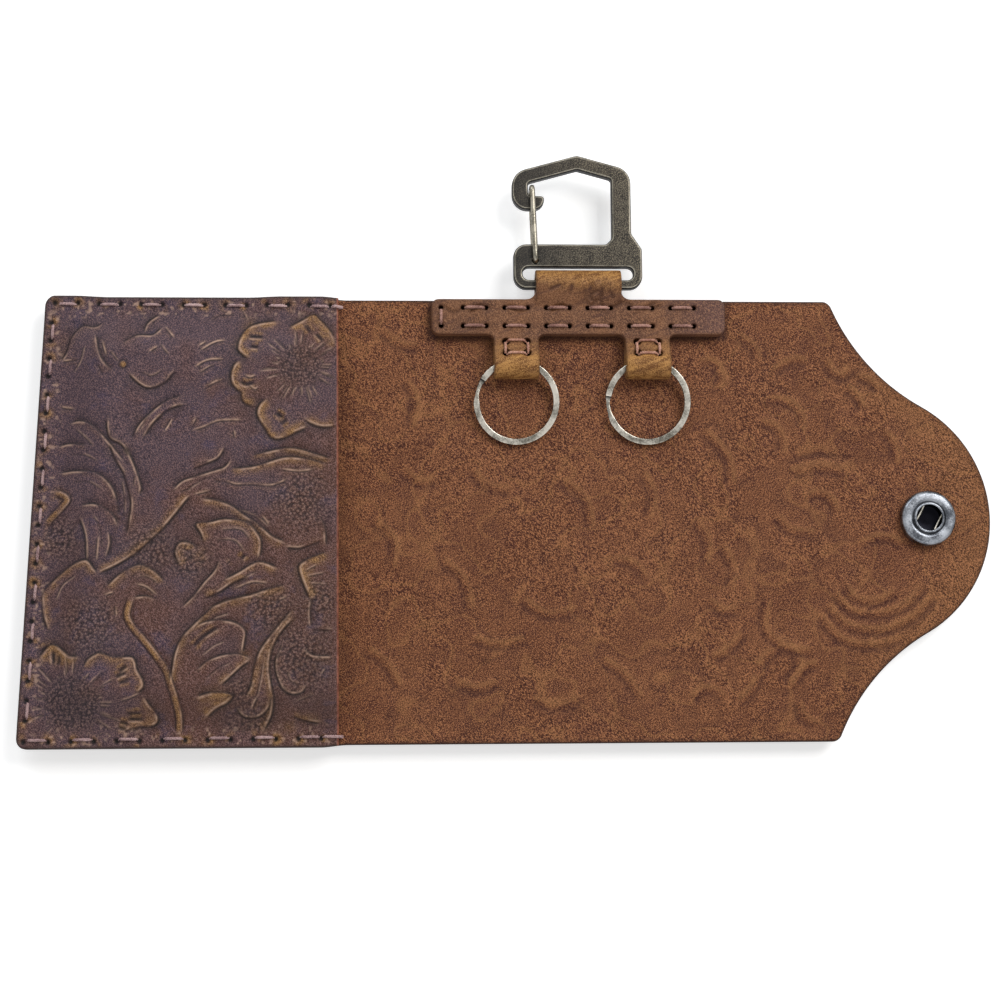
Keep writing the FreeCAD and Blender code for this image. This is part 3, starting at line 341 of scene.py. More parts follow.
# Hair lines: veins of leaves and hatching
VEINS = [
    [(305, 572), (318, 565)], [(306, 577), (326, 573)], [(309, 584), (328, 585)], [(318, 604), (325, 594)],
    [(321, 612), (330, 600)], [(324, 620), (331, 611)], [(84, 345), (80, 360), (72, 374)],
    [(110, 352), (118, 362)], [(76, 430), (84, 437), (94, 447)], [(70, 455), (84, 455), (98, 462)],
    [(72, 482), (88, 482), (102, 490)], [(121, 480), (124, 500), (123, 520)], [(134, 476), (133, 486)],
    [(92, 515), (100, 528), (101, 545)], [(75, 575), (62, 585), (55, 600)],
    [(135, 578), (147, 577), (158, 584)], [(215, 475), (200, 481), (186, 490)],
    [(220, 530), (240, 530), (250, 540)], [(216, 540), (234, 541), (244, 552)],
    [(258, 570), (246, 576), (232, 586)], [(230, 612), (213, 618), (199, 632)],
    [(225, 640), (212, 646), (200, 656)], [(230, 662), (218, 668), (206, 678)], [(283, 640), (277, 655)],
    [(263, 660), (260, 680), (256, 698)], [(286, 668), (290, 680), (298, 685)], [(155, 320), (150, 328)],
    [(160, 345), (168, 355)], [(140, 372), (152, 376), (163, 370)], [(160, 404), (148, 416), (139, 430)],
    [(280, 453), (300, 454), (318, 459)], [(240, 511), (255, 517), (268, 528)],
]
# Short deep cuts, rubbed along both sides
SLITS = [
    [(248, 336), (264, 337)], [(250, 346), (259, 347)], [(239, 380), (246, 384), (255, 382)],
    [(275, 412), (284, 418)], [(280, 424), (287, 419)], [(305, 324), (311, 333)], [(316, 333), (323, 341)],
    [(118, 672), (127, 665)], [(115, 677), (126, 672)], [(118, 683), (130, 679)], [(125, 714), (142, 713)],
    [(127, 719), (144, 719)], [(119, 722), (128, 724)], [(118, 727), (127, 729)], [(53, 651), (54, 665)],
    [(59, 655), (58, 666)], [(192, 648), (201, 638), (214, 629), (220, 627)], [(47, 352), (53, 345)],
    [(241, 559), (245, 554)], [(40, 652), (48, 646)],
]
# Raised stems with a cut along each side
BANDS = [
    [(131, 598), (128, 608), (127, 616), (131, 625), (140, 636), (150, 648), (158, 659), (166, 671),
     (170, 684), (174, 696), (179, 716), (179, 734)],
    [(54, 493), (62, 495), (67, 500), (62, 507), (54, 516), (47, 525), (44, 540)],
]
# Rubbed patches: pixel, radius in millimetres and strength
PATCHES = [
    ((37, 450), 1.8, 0.45), ((60, 497), 1.8, 0.6), ((48, 540), 1.6, 0.4), ((49, 648), 1.6, 0.5),
    ((243, 657), 1.3, 0.6), ((291, 732), 2.0, 0.6), ((263, 730), 1.2, 0.4), ((180, 556), 1.2, 0.4),
    ((306, 570), 1.8, 0.6), ((214, 699), 2.2, 0.6), ((207, 706), 1.8, 0.45), ((240, 345), 1.6, 0.5),
    ((60, 350), 2.4, 0.35), ((126, 672), 2.0, 0.6), ((133, 720), 2.2, 0.6), ((150, 720), 1.6, 0.5),
    ((48, 655), 2.0, 0.6), ((200, 555), 1.6, 0.4), ((34, 345), 1.6, 0.35), ((250, 325), 1.6, 0.5),
    ((235, 380), 1.4, 0.5),
]
# Flower hearts: pixel, radius in millimetres, and the reach of the fine rays round them
HEARTS = [((300, 366), 4.9, 9.0), ((71, 704), 6.4, 11.5)]
# Ground that is stamped all over: pixel and radius in millimetres
GROUNDS = [
    ((300, 660), 9.0), ((270, 610), 6.0), ((88, 625), 7.0), ((300, 500), 7.0), ((250, 725), 6.0),
    ((320, 600), 5.0), ((150, 550), 6.0), ((190, 560), 5.0), ((60, 540), 5.0), ((240, 690), 4.0),
]
# Darker ground: pixel, radius in millimetres and strength
SHADES = [
    ((312, 668), 5.0, 0.5), ((318, 715), 5.0, 0.45), ((285, 728), 3.0, 0.4), ((247, 725), 3.5, 0.5),
    ((222, 722), 3.0, 0.4), ((300, 612), 4.0, 0.4), ((183, 640), 2.5, 0.35), ((255, 640), 2.5, 0.4),
    ((70, 704), 6.5, 0.4), ((298, 366), 5.0, 0.25), ((232, 640), 2.0, 0.3), ((150, 590), 3.0, 0.3),
    ((200, 590), 3.0, 0.3), ((262, 668), 1.6, 0.3), ((320, 640), 3.0, 0.4),
]
# Bead at the tip of a leaf
BEAD = (123, 364)

# The tile that holds the tooling: spacing of its points, corners, fields, limits of height, and rounds
# of blur for the marks that show through
TILE_STEP = 0.125
TILE_LOW, TILE_HIGH = np.array([-123.0, -50.0]), np.array([-49.0, 50.0])
TILE_SIZE = np.round((TILE_HIGH - TILE_LOW) / TILE_STEP).astype(int) + 1
TILE_FIELDS = ("height", "groove", "rub", "rim_highlight_and_scuff")
TILE_DEPTH, TILE_RISE = -0.7, 0.3
GHOST_BLUR = 14
# A stroke: distance between its points, how far its profile reaches, and how long its ends fade
STROKE_STEP, STROKE_REACH, STROKE_FADE = 0.5, 3.5, 1.3
# Rays round each flower heart
RAYS = 46


def window(low, high):
    """Part of the tile between two corners, and the places of its points."""
    a = np.clip(np.floor((low - TILE_LOW) / TILE_STEP).astype(int), 0, TILE_SIZE)
    b = np.clip(np.ceil((high - TILE_LOW) / TILE_STEP).astype(int) + 1, a, TILE_SIZE)
    x = TILE_LOW[0] + TILE_STEP * np.arange(a[0], b[0])
    y = TILE_LOW[1] + TILE_STEP * np.arange(a[1], b[1])
    return (slice(a[1], b[1]), slice(a[0], b[0])), np.meshgrid(x, y)


def around(centre, reach):
    """Part of the tile round a place, its points and their distance from the place."""
    part, (gx, gy) = window(centre - reach, centre + reach)
    return part, gx, gy, np.hypot(gx - centre[0], gy - centre[1])


def at_least(tile, name, part, value):
    """Lifts one field of the tile to a value where it is lower."""
    tile[name][part] = np.maximum(tile[name][part], value)


def across(line, gx, gy):
    """Distance from a line, positive on its left, the way along it, and its fading towards the ends."""
    best = np.full(gx.shape, np.inf)
    side, along = np.zeros(gx.shape), np.zeros(gx.shape)
    run = run_along(line)
    for a, b, start, stop in zip(line[:-1], line[1:], run[:-1], run[1:]):
        d = b - a
        t = np.clip(((gx - a[0]) * d[0] + (gy - a[1]) * d[1]) / (d @ d), 0, 1)
        far = np.hypot(gx - a[0] - t * d[0], gy - a[1] - t * d[1])
        closer = far < best
        best = np.where(closer, far, best)
        side = np.where(closer, np.sign(d[0] * (gy - a[1]) - d[1] * (gx - a[0])), side)
        along = np.where(closer, start + t * (stop - start), along)
    end = min(STROKE_FADE, run[-1] / 4)
    taper = smoothstep(-0.25 * end, end, np.minimum(along, run[-1] - along))
    return best * side, along, taper


# Profiles across a stroke, from the distance s to its line: height, dark cut, gold rub and the painted
# highlight on the rim

def edge_profile(s):
    raised = 1 / (1 + np.exp(np.clip(-s / 0.07, -50, 50)))
    sunk = 1 - raised
    wide = np.abs(s)
    height = 0.13 * raised * bell(s, 0, 0.9) - 0.4 * sunk * bell(wide, 0, 0.8, 1)
    groove = np.maximum(bell(s, -0.16, 0.27), 0.72 * sunk * bell(wide, 0, 1.05, 1))
    return height, groove, raised * bell(s, 0.35, 0.95), 0.8 * bell(s, 0.26, 0.18)


def line_profile(s):
    wide = np.abs(s)
    return -0.22 * bell(s, 0, 0.22), 0.9 * bell(s, 0, 0.16), 0.2 * bell(wide, 0.5, 0.4), bell(s, 0.32, 0.16)


def vein_profile(s):
    return -0.12 * bell(s, 0, 0.2), 0.75 * bell(s, 0, 0.17), 0 * s, 0.55 * bell(s, 0.3, 0.16)


def slit_profile(s):
    wide = np.abs(s)
    return -0.4 * bell(s, 0, 0.34), bell(s, 0, 0.33), 0.8 * bell(wide, 0.7, 0.35), 0.6 * bell(s, -0.52, 0.16)


def band_profile(s):
    wide = np.abs(s)
    height = 0.22 * bell(s, 0, 0.65, 4) - 0.3 * bell(wide, 0.95, 0.3)
    return height, 0.9 * bell(wide, 0.82, 0.17), bell(s, 0, 0.6, 4), 0.5 * bell(s, 0.45, 0.16)


def stamp_lines(tile, lines, profile, gold, wide=1.0):
    """Presses lines of one profile into the tile, with a share of gold and a little unevenly."""
    for index, line in enumerate(lines):
        part, (gx, gy) = window(line.min(0) - STROKE_REACH, line.max(0) + STROKE_REACH)
        if gx.size == 0:
            continue
        s, along, taper = across(line, gx, gy)
        height, groove, rub, rim_highlight_and_scuff = profile(s / wide)
        uneven = soft_noise(along + 7 * index, 0 * along + 3 * index, 2.6, 21)
        tile["height"][part] += taper * height
        at_least(tile, "groove", part, taper * groove * (0.7 + 0.3 * uneven))
        at_least(tile, "rub", part, gold * taper * rub)
        at_least(tile, "rim_highlight_and_scuff", part, taper * rim_highlight_and_scuff * smoothstep(0.2, 0.65, uneven))


def stamp_spots(tile, name, spots, reach, even, size, seed):
    """Round spots of one field, broken up by fine noise above an even share."""
    for pixel, radius, strength in spots:
        part, gx, gy, far = around(on_pocket([pixel])[0], reach * radius)
        broken = even + (1 - even) * soft_noise(gx + 90, gy + 90, size, seed)
        at_least(tile, name, part, strength * bell(far, 0, radius) * broken)


def stamp_grounds(tile):
    """Pebbled ground between the leaves."""
    for pixel, radius in GROUNDS:
        part, gx, gy, far = around(on_pocket([pixel])[0], 2 * radius)
        share = bell(far, 0, radius, 3)
        pebble = pebbles(gx + 200, gy + 200, 0.7, 5)
        tile["height"][part] -= 0.16 * share * smoothstep(0.2, 0.6, pebble)
        at_least(tile, "groove", part, 0.75 * share * smoothstep(0.3, 0.68, pebble))
        # The pebbles' tops get a painted highlight
        at_least(tile, "rim_highlight_and_scuff", part, 0.4 * share * smoothstep(0.3, 0.08, pebble))


def stamp_hearts(tile):
    """Seeds of the two flowers, and the fine uneven rays round them."""
    for pixel, radius, reach in HEARTS:
        centre = on_pocket([pixel])[0]
        part, gx, gy, far = around(centre, radius + 1)
        inside = smoothstep(radius + 1.0, radius - 1.5, far)
        seed = pebbles(gx + 300, gy + 300, 0.62, 8)
        tile["height"][part] += inside * (0.12 * smoothstep(0.5, 0.1, seed) - 0.14)
        at_least(tile, "groove", part, inside * 0.7 * smoothstep(0.3, 0.65, seed))
        # The seeds' tops get a painted highlight
        at_least(tile, "rim_highlight_and_scuff", part, inside * 0.5 * smoothstep(0.26, 0.06, seed))
        rays = []
        for k in range(RAYS):
            turn = FULL_TURN * (k + 0.35 * math.sin(9.1 * k)) / RAYS
            way = np.array([math.cos(turn), math.sin(turn)])
            start, stop = radius - 0.3, reach * (0.78 + 0.22 * math.sin(5.3 * k))
            rays.append(np.array([centre + way * start, centre + way * stop]))
        stamp_lines(tile, rays, vein_profile, 0.0)


def stamp_bead(tile):
    """Small round bead at the tip of a leaf."""
    part, _, _, far = around(on_pocket([BEAD])[0], 2)
    tile["height"][part] += 0.3 * smoothstep(0.8, 0.2, far) - 0.15 * bell(far, 0.95, 0.25)
    at_least(tile, "rub", part, smoothstep(0.8, 0.5, far))
    at_least(tile, "groove", part, 0.7 * bell(far, 0.95, 0.2))


def tooling_tile():
    """The tooling of the pocket's front as fields over a grid of places."""
    tile = {name: np.zeros(TILE_SIZE[::-1]) for name in TILE_FIELDS}
    stamp_spots(tile, "groove", SHADES, 2.5, 0.3, 0.6, 33)
    stamp_grounds(tile)
    stamp_hearts(tile)
    for strokes, profile, gold, wide in (
            (VEINS, vein_profile, 0.0, 1.0), (LINES, line_profile, 0.6, 1.0),
            (PLAIN_EDGES, edge_profile, 0.12, 1.0), (TAN_EDGES, edge_profile, 0.5, 1.15),
            (GOLD_EDGES, edge_profile, 0.85, 1.3), (BANDS, band_profile, 0.75, 1.0),
            (SLITS, slit_profile, 0.8, 1.2)):
        lines = [smooth_line(on_pocket(stroke), STROKE_STEP) for stroke in strokes]
        stamp_lines(tile, lines, profile, gold, wide)
    stamp_spots(tile, "rub", PATCHES, 3, 0.4, 0.9, 31)
    stamp_bead(tile)
    tile["height"] = np.clip(tile["height"], TILE_DEPTH, TILE_RISE)
    tile["ghost"] = blur(np.clip(tile["groove"] + 0.5 * tile["rub"], 0, 1), GHOST_BLUR)
    return tile


TILE = tooling_tile()


def mirrored(place, low, count):
    """Steps along one side of the tile, mirrored beyond its ends: whole ones and the rest."""
    span = count - 1
    step = np.mod((np.asarray(place) - low) / TILE_STEP, 2 * span)
    step = np.where(step > span, 2 * span - step, step)
    whole = np.clip(np.floor(step).astype(int), 0, span - 1)
    return whole, step - whole


def sample(name, x, y):
    """Value of the tile at a place. Beyond its sides the tile goes on mirrored."""
    i, fu = mirrored(x, TILE_LOW[0], TILE_SIZE[0])
    j, fv = mirrored(y, TILE_LOW[1], TILE_SIZE[1])
    return between_four(TILE[name], j, i, fv, fu)


# Stitch holes of the pocket: first and last place in a row, distance from the edge, and their number

TOP_X, TOP_INSET = (-113.65, -53.65), (1.5, 1.85)
BOTTOM_X, BOTTOM_INSET = (-119.25, -55.6), (1.4, 1.8)
SIDE_Y, SIDE_DRIFT, SIDE_INSET = 43.65, 3.7, 1.6
ROW_HOLES, SIDE_HOLES = 14, 22
# How near a hole is looked for, and the distance given where there is none
HOLE_REACH, NO_HOLE = 4, 9.0


def stitch_rows():
    """Holes of the pocket's three rows, in the order of the thread."""
    t = np.linspace(0, 1, SIDE_HOLES)
    side_y = SIDE_Y * (1 - 2 * t) + SIDE_DRIFT * t * (1 - t)
    top_y = HALF - np.linspace(*TOP_INSET, ROW_HOLES)
    bottom_y = np.linspace(*BOTTOM_INSET, ROW_HOLES) - HALF
    return {
        "top": np.column_stack([np.linspace(*TOP_X, ROW_HOLES), top_y]),
        "side": np.column_stack([left_line(side_y) + SIDE_INSET, side_y]),
        "bottom": np.column_stack([np.linspace(*BOTTOM_X, ROW_HOLES), bottom_y]),
    }


ROWS = stitch_rows()


def near_holes(x, y):
    """Distance to the nearest of the pocket's stitch holes, where one is near."""
    far = np.full(np.shape(x), NO_HOLE)
    for hole in np.vstack(list(ROWS.values())):
        close = (np.abs(x - hole[0]) < HOLE_REACH) & (np.abs(y - hole[1]) < HOLE_REACH)
        far[close] = np.minimum(far[close], np.hypot(x[close] - hole[0], y[close] - hole[1]))
    return far


# Meshes

def new_object(name, data):
    made = bpy.data.objects.new(name, data)
    bpy.context.scene.collection.objects.link(made)
    return made


def make_piece(name, points, faces, material, **fields):
    """A smooth mesh piece. Its points' places and any further fields are kept for the materials."""
    mesh = bpy.data.meshes.new(name)
    points = np.asarray(points, float)
    faces = np.asarray(faces, int)
    mesh.vertices.add(len(points))
    mesh.vertices.foreach_set("co", (points * MM).ravel())
    mesh.loops.add(faces.size)
    mesh.loops.foreach_set("vertex_index", faces.ravel())
    mesh.polygons.add(len(faces))
    mesh.polygons.foreach_set("loop_start", np.arange(0, faces.size, faces.shape[1]))
    mesh.update(calc_edges=True)
    mesh.validate()
    mesh.shade_smooth()
    piece = new_object(name, mesh)
    mesh.materials.append(material)
    keep_fields(mesh, points, **fields)
    return piece


def keep_fields(mesh, points, **fields):
    """Keeps the points' places at rest, and one value per point for each field."""
    rest = mesh.attributes.new("rest", "FLOAT_VECTOR", "POINT")
    rest.data.foreach_set("vector", (np.asarray(points) * MM).astype(np.float32).ravel())
    for name, values in fields.items():
        field = mesh.attributes.new(name, "FLOAT", "POINT")
        field.data.foreach_set("value", np.asarray(values, np.float32).ravel())


def settle(piece, body, node):
    """Says which body a piece rides on, and hides the node it stands for."""
    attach(piece, body)
    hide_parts(node)


def grid_faces(rows, cols, start=0, flip=False):
    """Faces of a grid of points, row by row, that look up when rows go along +Y and columns along +X."""
    j, i = np.meshgrid(np.arange(rows - 1), np.arange(cols - 1), indexing="ij")
    a = start + j * cols + i
    quads = np.stack([a, a + 1, a + cols + 1, a + cols], axis=-1).reshape(-1, 4)
    return quads[:, ::-1] if flip else quads


def tube_faces(rings, sides):
    """Faces between closed rings of points, ring by ring."""
    j, i = np.meshgrid(np.arange(rings - 1), np.arange(sides), indexing="ij")
    a, b = j * sides + i, j * sides + (i + 1) % sides
    return np.stack([a, b, b + sides, a + sides], axis=-1).reshape(-1, 4)


def wall_faces(upper, lower, flip=False):
    """Faces between two lines of points."""
    quads = np.stack([upper[:-1], lower[:-1], lower[1:], upper[1:]], axis=-1)
    return quads[:, ::-1] if flip else quads


def end_faces(ring):
    """Faces that close a ring of an even number of points."""
    half = len(ring) // 2
    near, far = ring[:half], ring[half:][::-1]
    return np.stack([near[:-1], near[1:], far[1:], far[:-1]], axis=-1)


# Materials

def srgb(red, green, blue):
    channels = [c / 255 for c in (red, green, blue)]
    linear = [c / 12.92 if c <= 0.04045 else ((c + 0.055) / 1.055) ** 2.4 for c in channels]
    return (*linear, 1.0)


class Nodes:
    """Short names for the nodes of one material or of the world. Colours are sRGB, up to 255."""

    def __init__(self, owner):
        owner.use_nodes = True
        self.owner = owner
        self.tree = owner.node_tree
        self.shader = self.tree.nodes.get("Principled BSDF")

    def put(self, socket, value):
        """Links a socket to another one, or gives it a value."""
        if isinstance(value, bpy.types.NodeSocket):
            self.tree.links.new(value, socket)
        else:
            socket.default_value = srgb(*value) if socket.type == "RGBA" else value

    def make(self, kind, output, inputs, **settings):
        """A new node with its inputs and settings, of which one output is given back."""
        made = self.tree.nodes.new("ShaderNode" + kind)
        for name, value in settings.items():
            setattr(made, name, value)
        for name, value in inputs.items():
            self.put(made.inputs[name], value)
        return made.outputs[output]

    def field(self, name):
        return self.make("Attribute", "Fac", {}, attribute_name=name)

    def rest(self):
        return self.make("Attribute", "Vector", {}, attribute_name="rest")

    def place(self):
        return self.make("TexCoord", "Object", {})

    def axis(self, where, name):
        return self.make("SeparateXYZ", name, {0: where})

    def noise(self, where, scale, detail=2.0, rough=0.5):
        given = {"Vector": where, "Scale": scale, "Detail": detail, "Roughness": rough}
        return self.make("TexNoise", "Fac", given)

    def combed(self, where, turn, stretch):
        """Places turned and then stretched along one way, so that a noise on them runs in short hairs."""
        given = {"Vector": where, "Rotation": (0, 0, turn), "Scale": (stretch, 1, 1)}
        return self.make("Mapping", "Vector", given, vector_type="TEXTURE")

    def cells(self, where, scale):
        return self.make("TexVoronoi", "Distance", {"Vector": where, "Scale": scale})

    def span(self, value, low, high, to_low=0.0, to_high=1.0):
        given = {"Value": value, "From Min": low, "From Max": high, "To Min": to_low, "To Max": to_high}
        return self.make("MapRange", "Result", given, interpolation_type="SMOOTHSTEP")

    def math(self, operation, a, b=0.0):
        return self.make("Math", 0, {0: a, 1: b}, operation=operation)

    def weigh(self, share, a, b):
        """A share of one value and the rest of another."""
        return self.math("ADD", self.math("MULTIPLY", a, share), self.math("MULTIPLY", b, 1 - share))

    def near_level(self, value, level, width, share):
        """A share along the line where a value passes a level, and nothing away from it."""
        return self.span(self.math("ABSOLUTE", self.math("SUBTRACT", value, level)), width, 0.0, 0.0, share)

    def mix(self, share, a, b):
        return self.make("Mix", 2, {0: share, 6: a, 7: b}, data_type="RGBA")

    def bump(self, height, strength, depth, **under):
        given = {"Strength": strength, "Distance": depth * MM, "Height": height}
        return self.make("Bump", "Normal", {**given, **under})

    def seen(self):
        """1 for what is looked at, itself, mirrored or through something, and 0 for the light it gives."""
        share = 0.0
        for kind in ("Camera", "Glossy", "Transmission"):
            share = self.math("MAXIMUM", self.make("LightPath", f"Is {kind} Ray", {}), share)
        return share

    def done(self, colour, roughness, normal, **constants):
        """The finished material."""
        given = {"Base_Color": colour, "Roughness": roughness, "Normal": normal, **constants}
        for name, value in given.items():
            self.put(self.shader.inputs[name.replace("_", " ")], value)
        return self.owner


def material_nodes(name):
    return Nodes(bpy.data.materials.new(name))


def speckled(n, where, colour, dark, light, scale, share):
    """Colour with dark and light grain in it, mostly fine, and the grain itself."""
    fine, coarse = n.combed(where, -0.8, 1.9), n.combed(where, 0.8, 1.4)
    grain = n.weigh(0.82, n.noise(fine, scale, 0.0), n.noise(coarse, scale * 0.55, 1.0))
    colour = n.mix(n.span(grain, 0.5, 0.33, 0.0, share), colour, dark)
    return n.mix(n.span(grain, 0.5, 0.67, 0.0, share), colour, light), grain


def sheet_leather():
    n = material_nodes("sheet_leather")
    where = n.rest()
    mottle = n.noise(where, 70.0, 4.0, 0.55)
    inner = n.mix(n.span(mottle, 0.34, 0.66), (103, 61, 42), (122, 77, 53))
    blotch = n.noise(where, 330.0, 3.0, 0.6)
    inner = n.mix(n.span(blotch, 0.48, 0.64, 0.0, 0.55), inner, (84, 46, 40))
    inner = n.mix(n.math("MULTIPLY", n.field("fade"), 0.45), inner, (150, 106, 66))
    scroll = n.noise(where, 105.0, 1.0, 0.4)
    inner = n.mix(n.near_level(scroll, 0.54, 0.03, 0.45), inner, (158, 110, 70))
    inner = n.mix(n.near_level(scroll, 0.49, 0.03, 0.5), inner, (66, 36, 32))
    inner, grain = speckled(n, where, inner, (50, 26, 20), (174, 118, 79), 6400.0, 0.92)
    # ghost darkens where the tooling shows through; the swirls' dark side and pale side are painted shade
    # and painted highlight of their relief
    inner = n.mix(n.span(n.field("ghost"), 0.0, 1.0, 0.0, 0.62), inner, (62, 34, 30))
    inner = n.mix(n.span(n.field("ghost"), 0.0, -1.0, 0.0, 0.42), inner, (166, 118, 76))
    # Painted shade at the foot of the holder strip and of its tabs
    inner = n.mix(n.field("shade"), inner, (56, 34, 28))
    back = n.mix(n.span(mottle, 0.36, 0.64), (68, 50, 54), (94, 64, 58))
    back = n.mix(n.field("rub"), back, (146, 104, 58))
    back = n.mix(n.field("groove"), back, (32, 22, 22))
    back, _ = speckled(n, where, back, (38, 27, 30), (132, 101, 92), 6000.0, 0.65)
    colour = n.mix(n.field("back"), inner, back)
    colour = n.mix(n.field("edge"), colour, (52, 33, 27))
    normal = n.bump(grain, 0.5, 0.12, Normal=n.bump(n.noise(where, 620.0, 3.0), 0.4, 0.2))
    return n.done(colour, n.span(grain, 0.3, 0.7, 0.78, 0.58), normal, Specular_IOR_Level=0.16)


def tooled_leather():
    n = material_nodes("tooled_leather")
    where = n.rest()
    # The leather's own purple-brown to red-brown tone, uneven at random; the purple-grey towards the upper
    # left and the bluish patches are painted sheen
    slope = n.math("SUBTRACT", n.axis(where, "X"), n.math("MULTIPLY", n.axis(where, "Y"), 0.7))
    tone_and_sheen = n.math("ADD", n.span(slope, -0.13, -0.03),
                    n.span(n.noise(where, 90.0, 4.0), 0.3, 0.7, -0.4, 0.4))
    colour = n.mix(n.span(tone_and_sheen, 0.0, 1.0), (76, 60, 70), (88, 56, 46))
    colour = n.mix(n.span(n.noise(where, 160.0, 3.0, 0.6), 0.56, 0.7, 0.0, 0.55), colour, (70, 61, 86))
    colour, grain = speckled(n, where, colour, (34, 24, 28), (138, 106, 102), 6000.0, 0.7)
    worn = n.math("MULTIPLY", n.field("rub"), n.span(n.noise(where, 420.0, 3.0), 0.3, 0.6, 0.3, 1.0))
    colour = n.mix(worn, colour, n.mix(n.span(grain, 0.4, 0.6), (104, 70, 40), (178, 136, 86)))
    # Painted highlight along the tooling's rims and on stamped bumps, together with the pale wear of scuffs
    # along the border
    highlight_and_scuff = n.math("MULTIPLY", n.field("rim_highlight_and_scuff"), n.span(n.noise(where, 700.0, 2.0), 0.3, 0.6, 0.4, 1.0))
    colour = n.mix(highlight_and_scuff, colour, (208, 172, 150))
    colour = n.mix(n.field("groove"), colour, (15, 10, 11))
    colour = n.mix(n.field("edge"), colour, (50, 34, 31))
    raw = n.mix(n.span(n.noise(where, 900.0), 0.35, 0.65), (118, 66, 50), (164, 102, 80))
    colour = n.mix(n.field("cut"), colour, raw)
    pits = n.span(n.cells(where, 1150.0), 0.05, 0.5)
    normal = n.bump(grain, 0.6, 0.14, Normal=n.bump(pits, 0.35, 0.16))
    return n.done(colour, n.span(grain, 0.3, 0.7, 0.7, 0.46), normal, Specular_IOR_Level=0.24)


def holder_leather():
    n = material_nodes("holder_leather")
    where = n.rest()
    mottle = n.noise(where, 130.0, 4.0, 0.6)
    colour = n.mix(n.span(mottle, 0.34, 0.66), (98, 64, 46), (130, 88, 60))
    colour = n.mix(n.field("cool"), colour, (92, 66, 68))
    colour, grain = speckled(n, where, colour, (58, 35, 27), (162, 116, 82), 6000.0, 0.6)
    streaks = n.noise(n.combed(where, 0.35, 5.0), 1000.0, 2.0, 0.55)
    colour = n.mix(n.span(streaks, 0.52, 0.68, 0.0, 0.45), colour, (72, 45, 40))
    gold = n.mix(n.span(n.weigh(0.5, grain, streaks), 0.4, 0.6), (112, 71, 34), (194, 143, 82))
    bend = n.math("MULTIPLY", n.field("bend"), n.span(mottle, 0.25, 0.55, 0.55, 1.0))
    colour = n.mix(bend, colour, gold)
    # Painted shade in the cuts and the stitch holes
    colour = n.mix(n.field("crease"), colour, (58, 34, 24))
    colour = n.mix(n.field("edge"), colour, (66, 41, 30))
    creases = n.noise(where, 520.0, 4.0, 0.6)
    normal = n.bump(grain, 0.5, 0.12, Normal=n.bump(creases, 0.5, 0.25))
    return n.done(colour, n.span(grain, 0.3, 0.7, 0.66, 0.46), normal, Specular_IOR_Level=0.22)


def waxed_thread(name, dark, light):
    n = material_nodes(name)
    where = n.rest()
    fibre = n.noise(where, 3200.0, 3.0, 0.6)
    shade = n.weigh(0.6, fibre, n.noise(where, 220.0, 2.0))
    colour = n.mix(n.span(shade, 0.35, 0.62), dark, light)
    rough = n.span(fibre, 0.3, 0.7, 0.75, 0.55)
    return n.done(colour, rough, n.bump(fibre, 0.6, 0.06), Specular_IOR_Level=0.25)


def antique_bronze():
    n = material_nodes("antique_bronze")
    where = n.rest()
    mottle = n.noise(where, 420.0, 4.0, 0.6)
    colour = n.mix(n.span(mottle, 0.36, 0.64), (41, 38, 36), (64, 59, 52))
    colour, grain = speckled(n, where, colour, (22, 21, 22), (98, 91, 77), 6000.0, 0.85)
    colour = n.mix(n.span(n.axis(where, "X"), 0.003, -0.01, 0.0, 0.6), colour, (28, 28, 30))
    # Painted glint: a thin light line where the hook's faces turn into its rounded edges
    painted_glint = n.math("MULTIPLY", n.span(n.field("edge"), 0.0, 0.6), n.span(mottle, 0.3, 0.6, 0.4, 0.9))
    colour = n.mix(painted_glint, colour, (158, 152, 138))
    # Painted shade on the hook's steep sides
    colour = n.mix(n.field("wall"), colour, (24, 23, 25))
    return n.done(colour, n.span(grain, 0.3, 0.7, 0.58, 0.38), n.bump(grain, 0.45, 0.08), Metallic=0.85)


def plated_metal(name, dark, light, rough, where_kept):
    """Plated metal with fine scratches. Where places at rest are kept, it carries painted shade in its
    recesses.
    """
    n = material_nodes(name)
    where = n.rest() if where_kept else n.place()
    smear = n.noise(where, 300.0, 3.0)
    scratch = n.noise(where, 2600.0, 4.0, 0.7)
    colour = n.mix(n.span(n.weigh(0.6, smear, scratch), 0.36, 0.62), dark, light)
    if where_kept:
        # Painted shade in the recesses, in the slit between the ring's turns and at its open end
        colour = n.mix(n.field("deep"), colour, (14, 14, 18))
    dull = n.span(smear, 0.3, 0.7, rough - 0.06, rough + 0.1)
    return n.done(colour, dull, n.bump(scratch, 0.12, 0.03), Metallic=1.0)


SHEET_LEATHER = sheet_leather()
TOOLED_LEATHER = tooled_leather()
HOLDER_LEATHER = holder_leather()
POCKET_THREAD = waxed_thread("pocket_thread", (132, 102, 104), (206, 176, 174))
HOLDER_THREAD = waxed_thread("holder_thread", (118, 82, 74), (194, 150, 136))
TAB_THREAD = waxed_thread("tab_thread", (152, 102, 84), (218, 170, 148))
BRONZE = antique_bronze()
RING_STEEL = plated_metal("ring_steel", (106, 102, 92), (216, 210, 198), 0.22, True)
SNAP_NICKEL = plated_metal("snap_nickel", (70, 73, 79), (156, 160, 167), 0.28, True)
WIRE_STEEL = plated_metal("wire_steel", (92, 88, 78), (160, 154, 140), 0.26, False)
POST_NICKEL = plated_metal("post_nickel", (130, 130, 134), (200, 200, 204), 0.3, False)


# Body leather: one sheet, in four pieces that meet in the middle of the spines and of the back

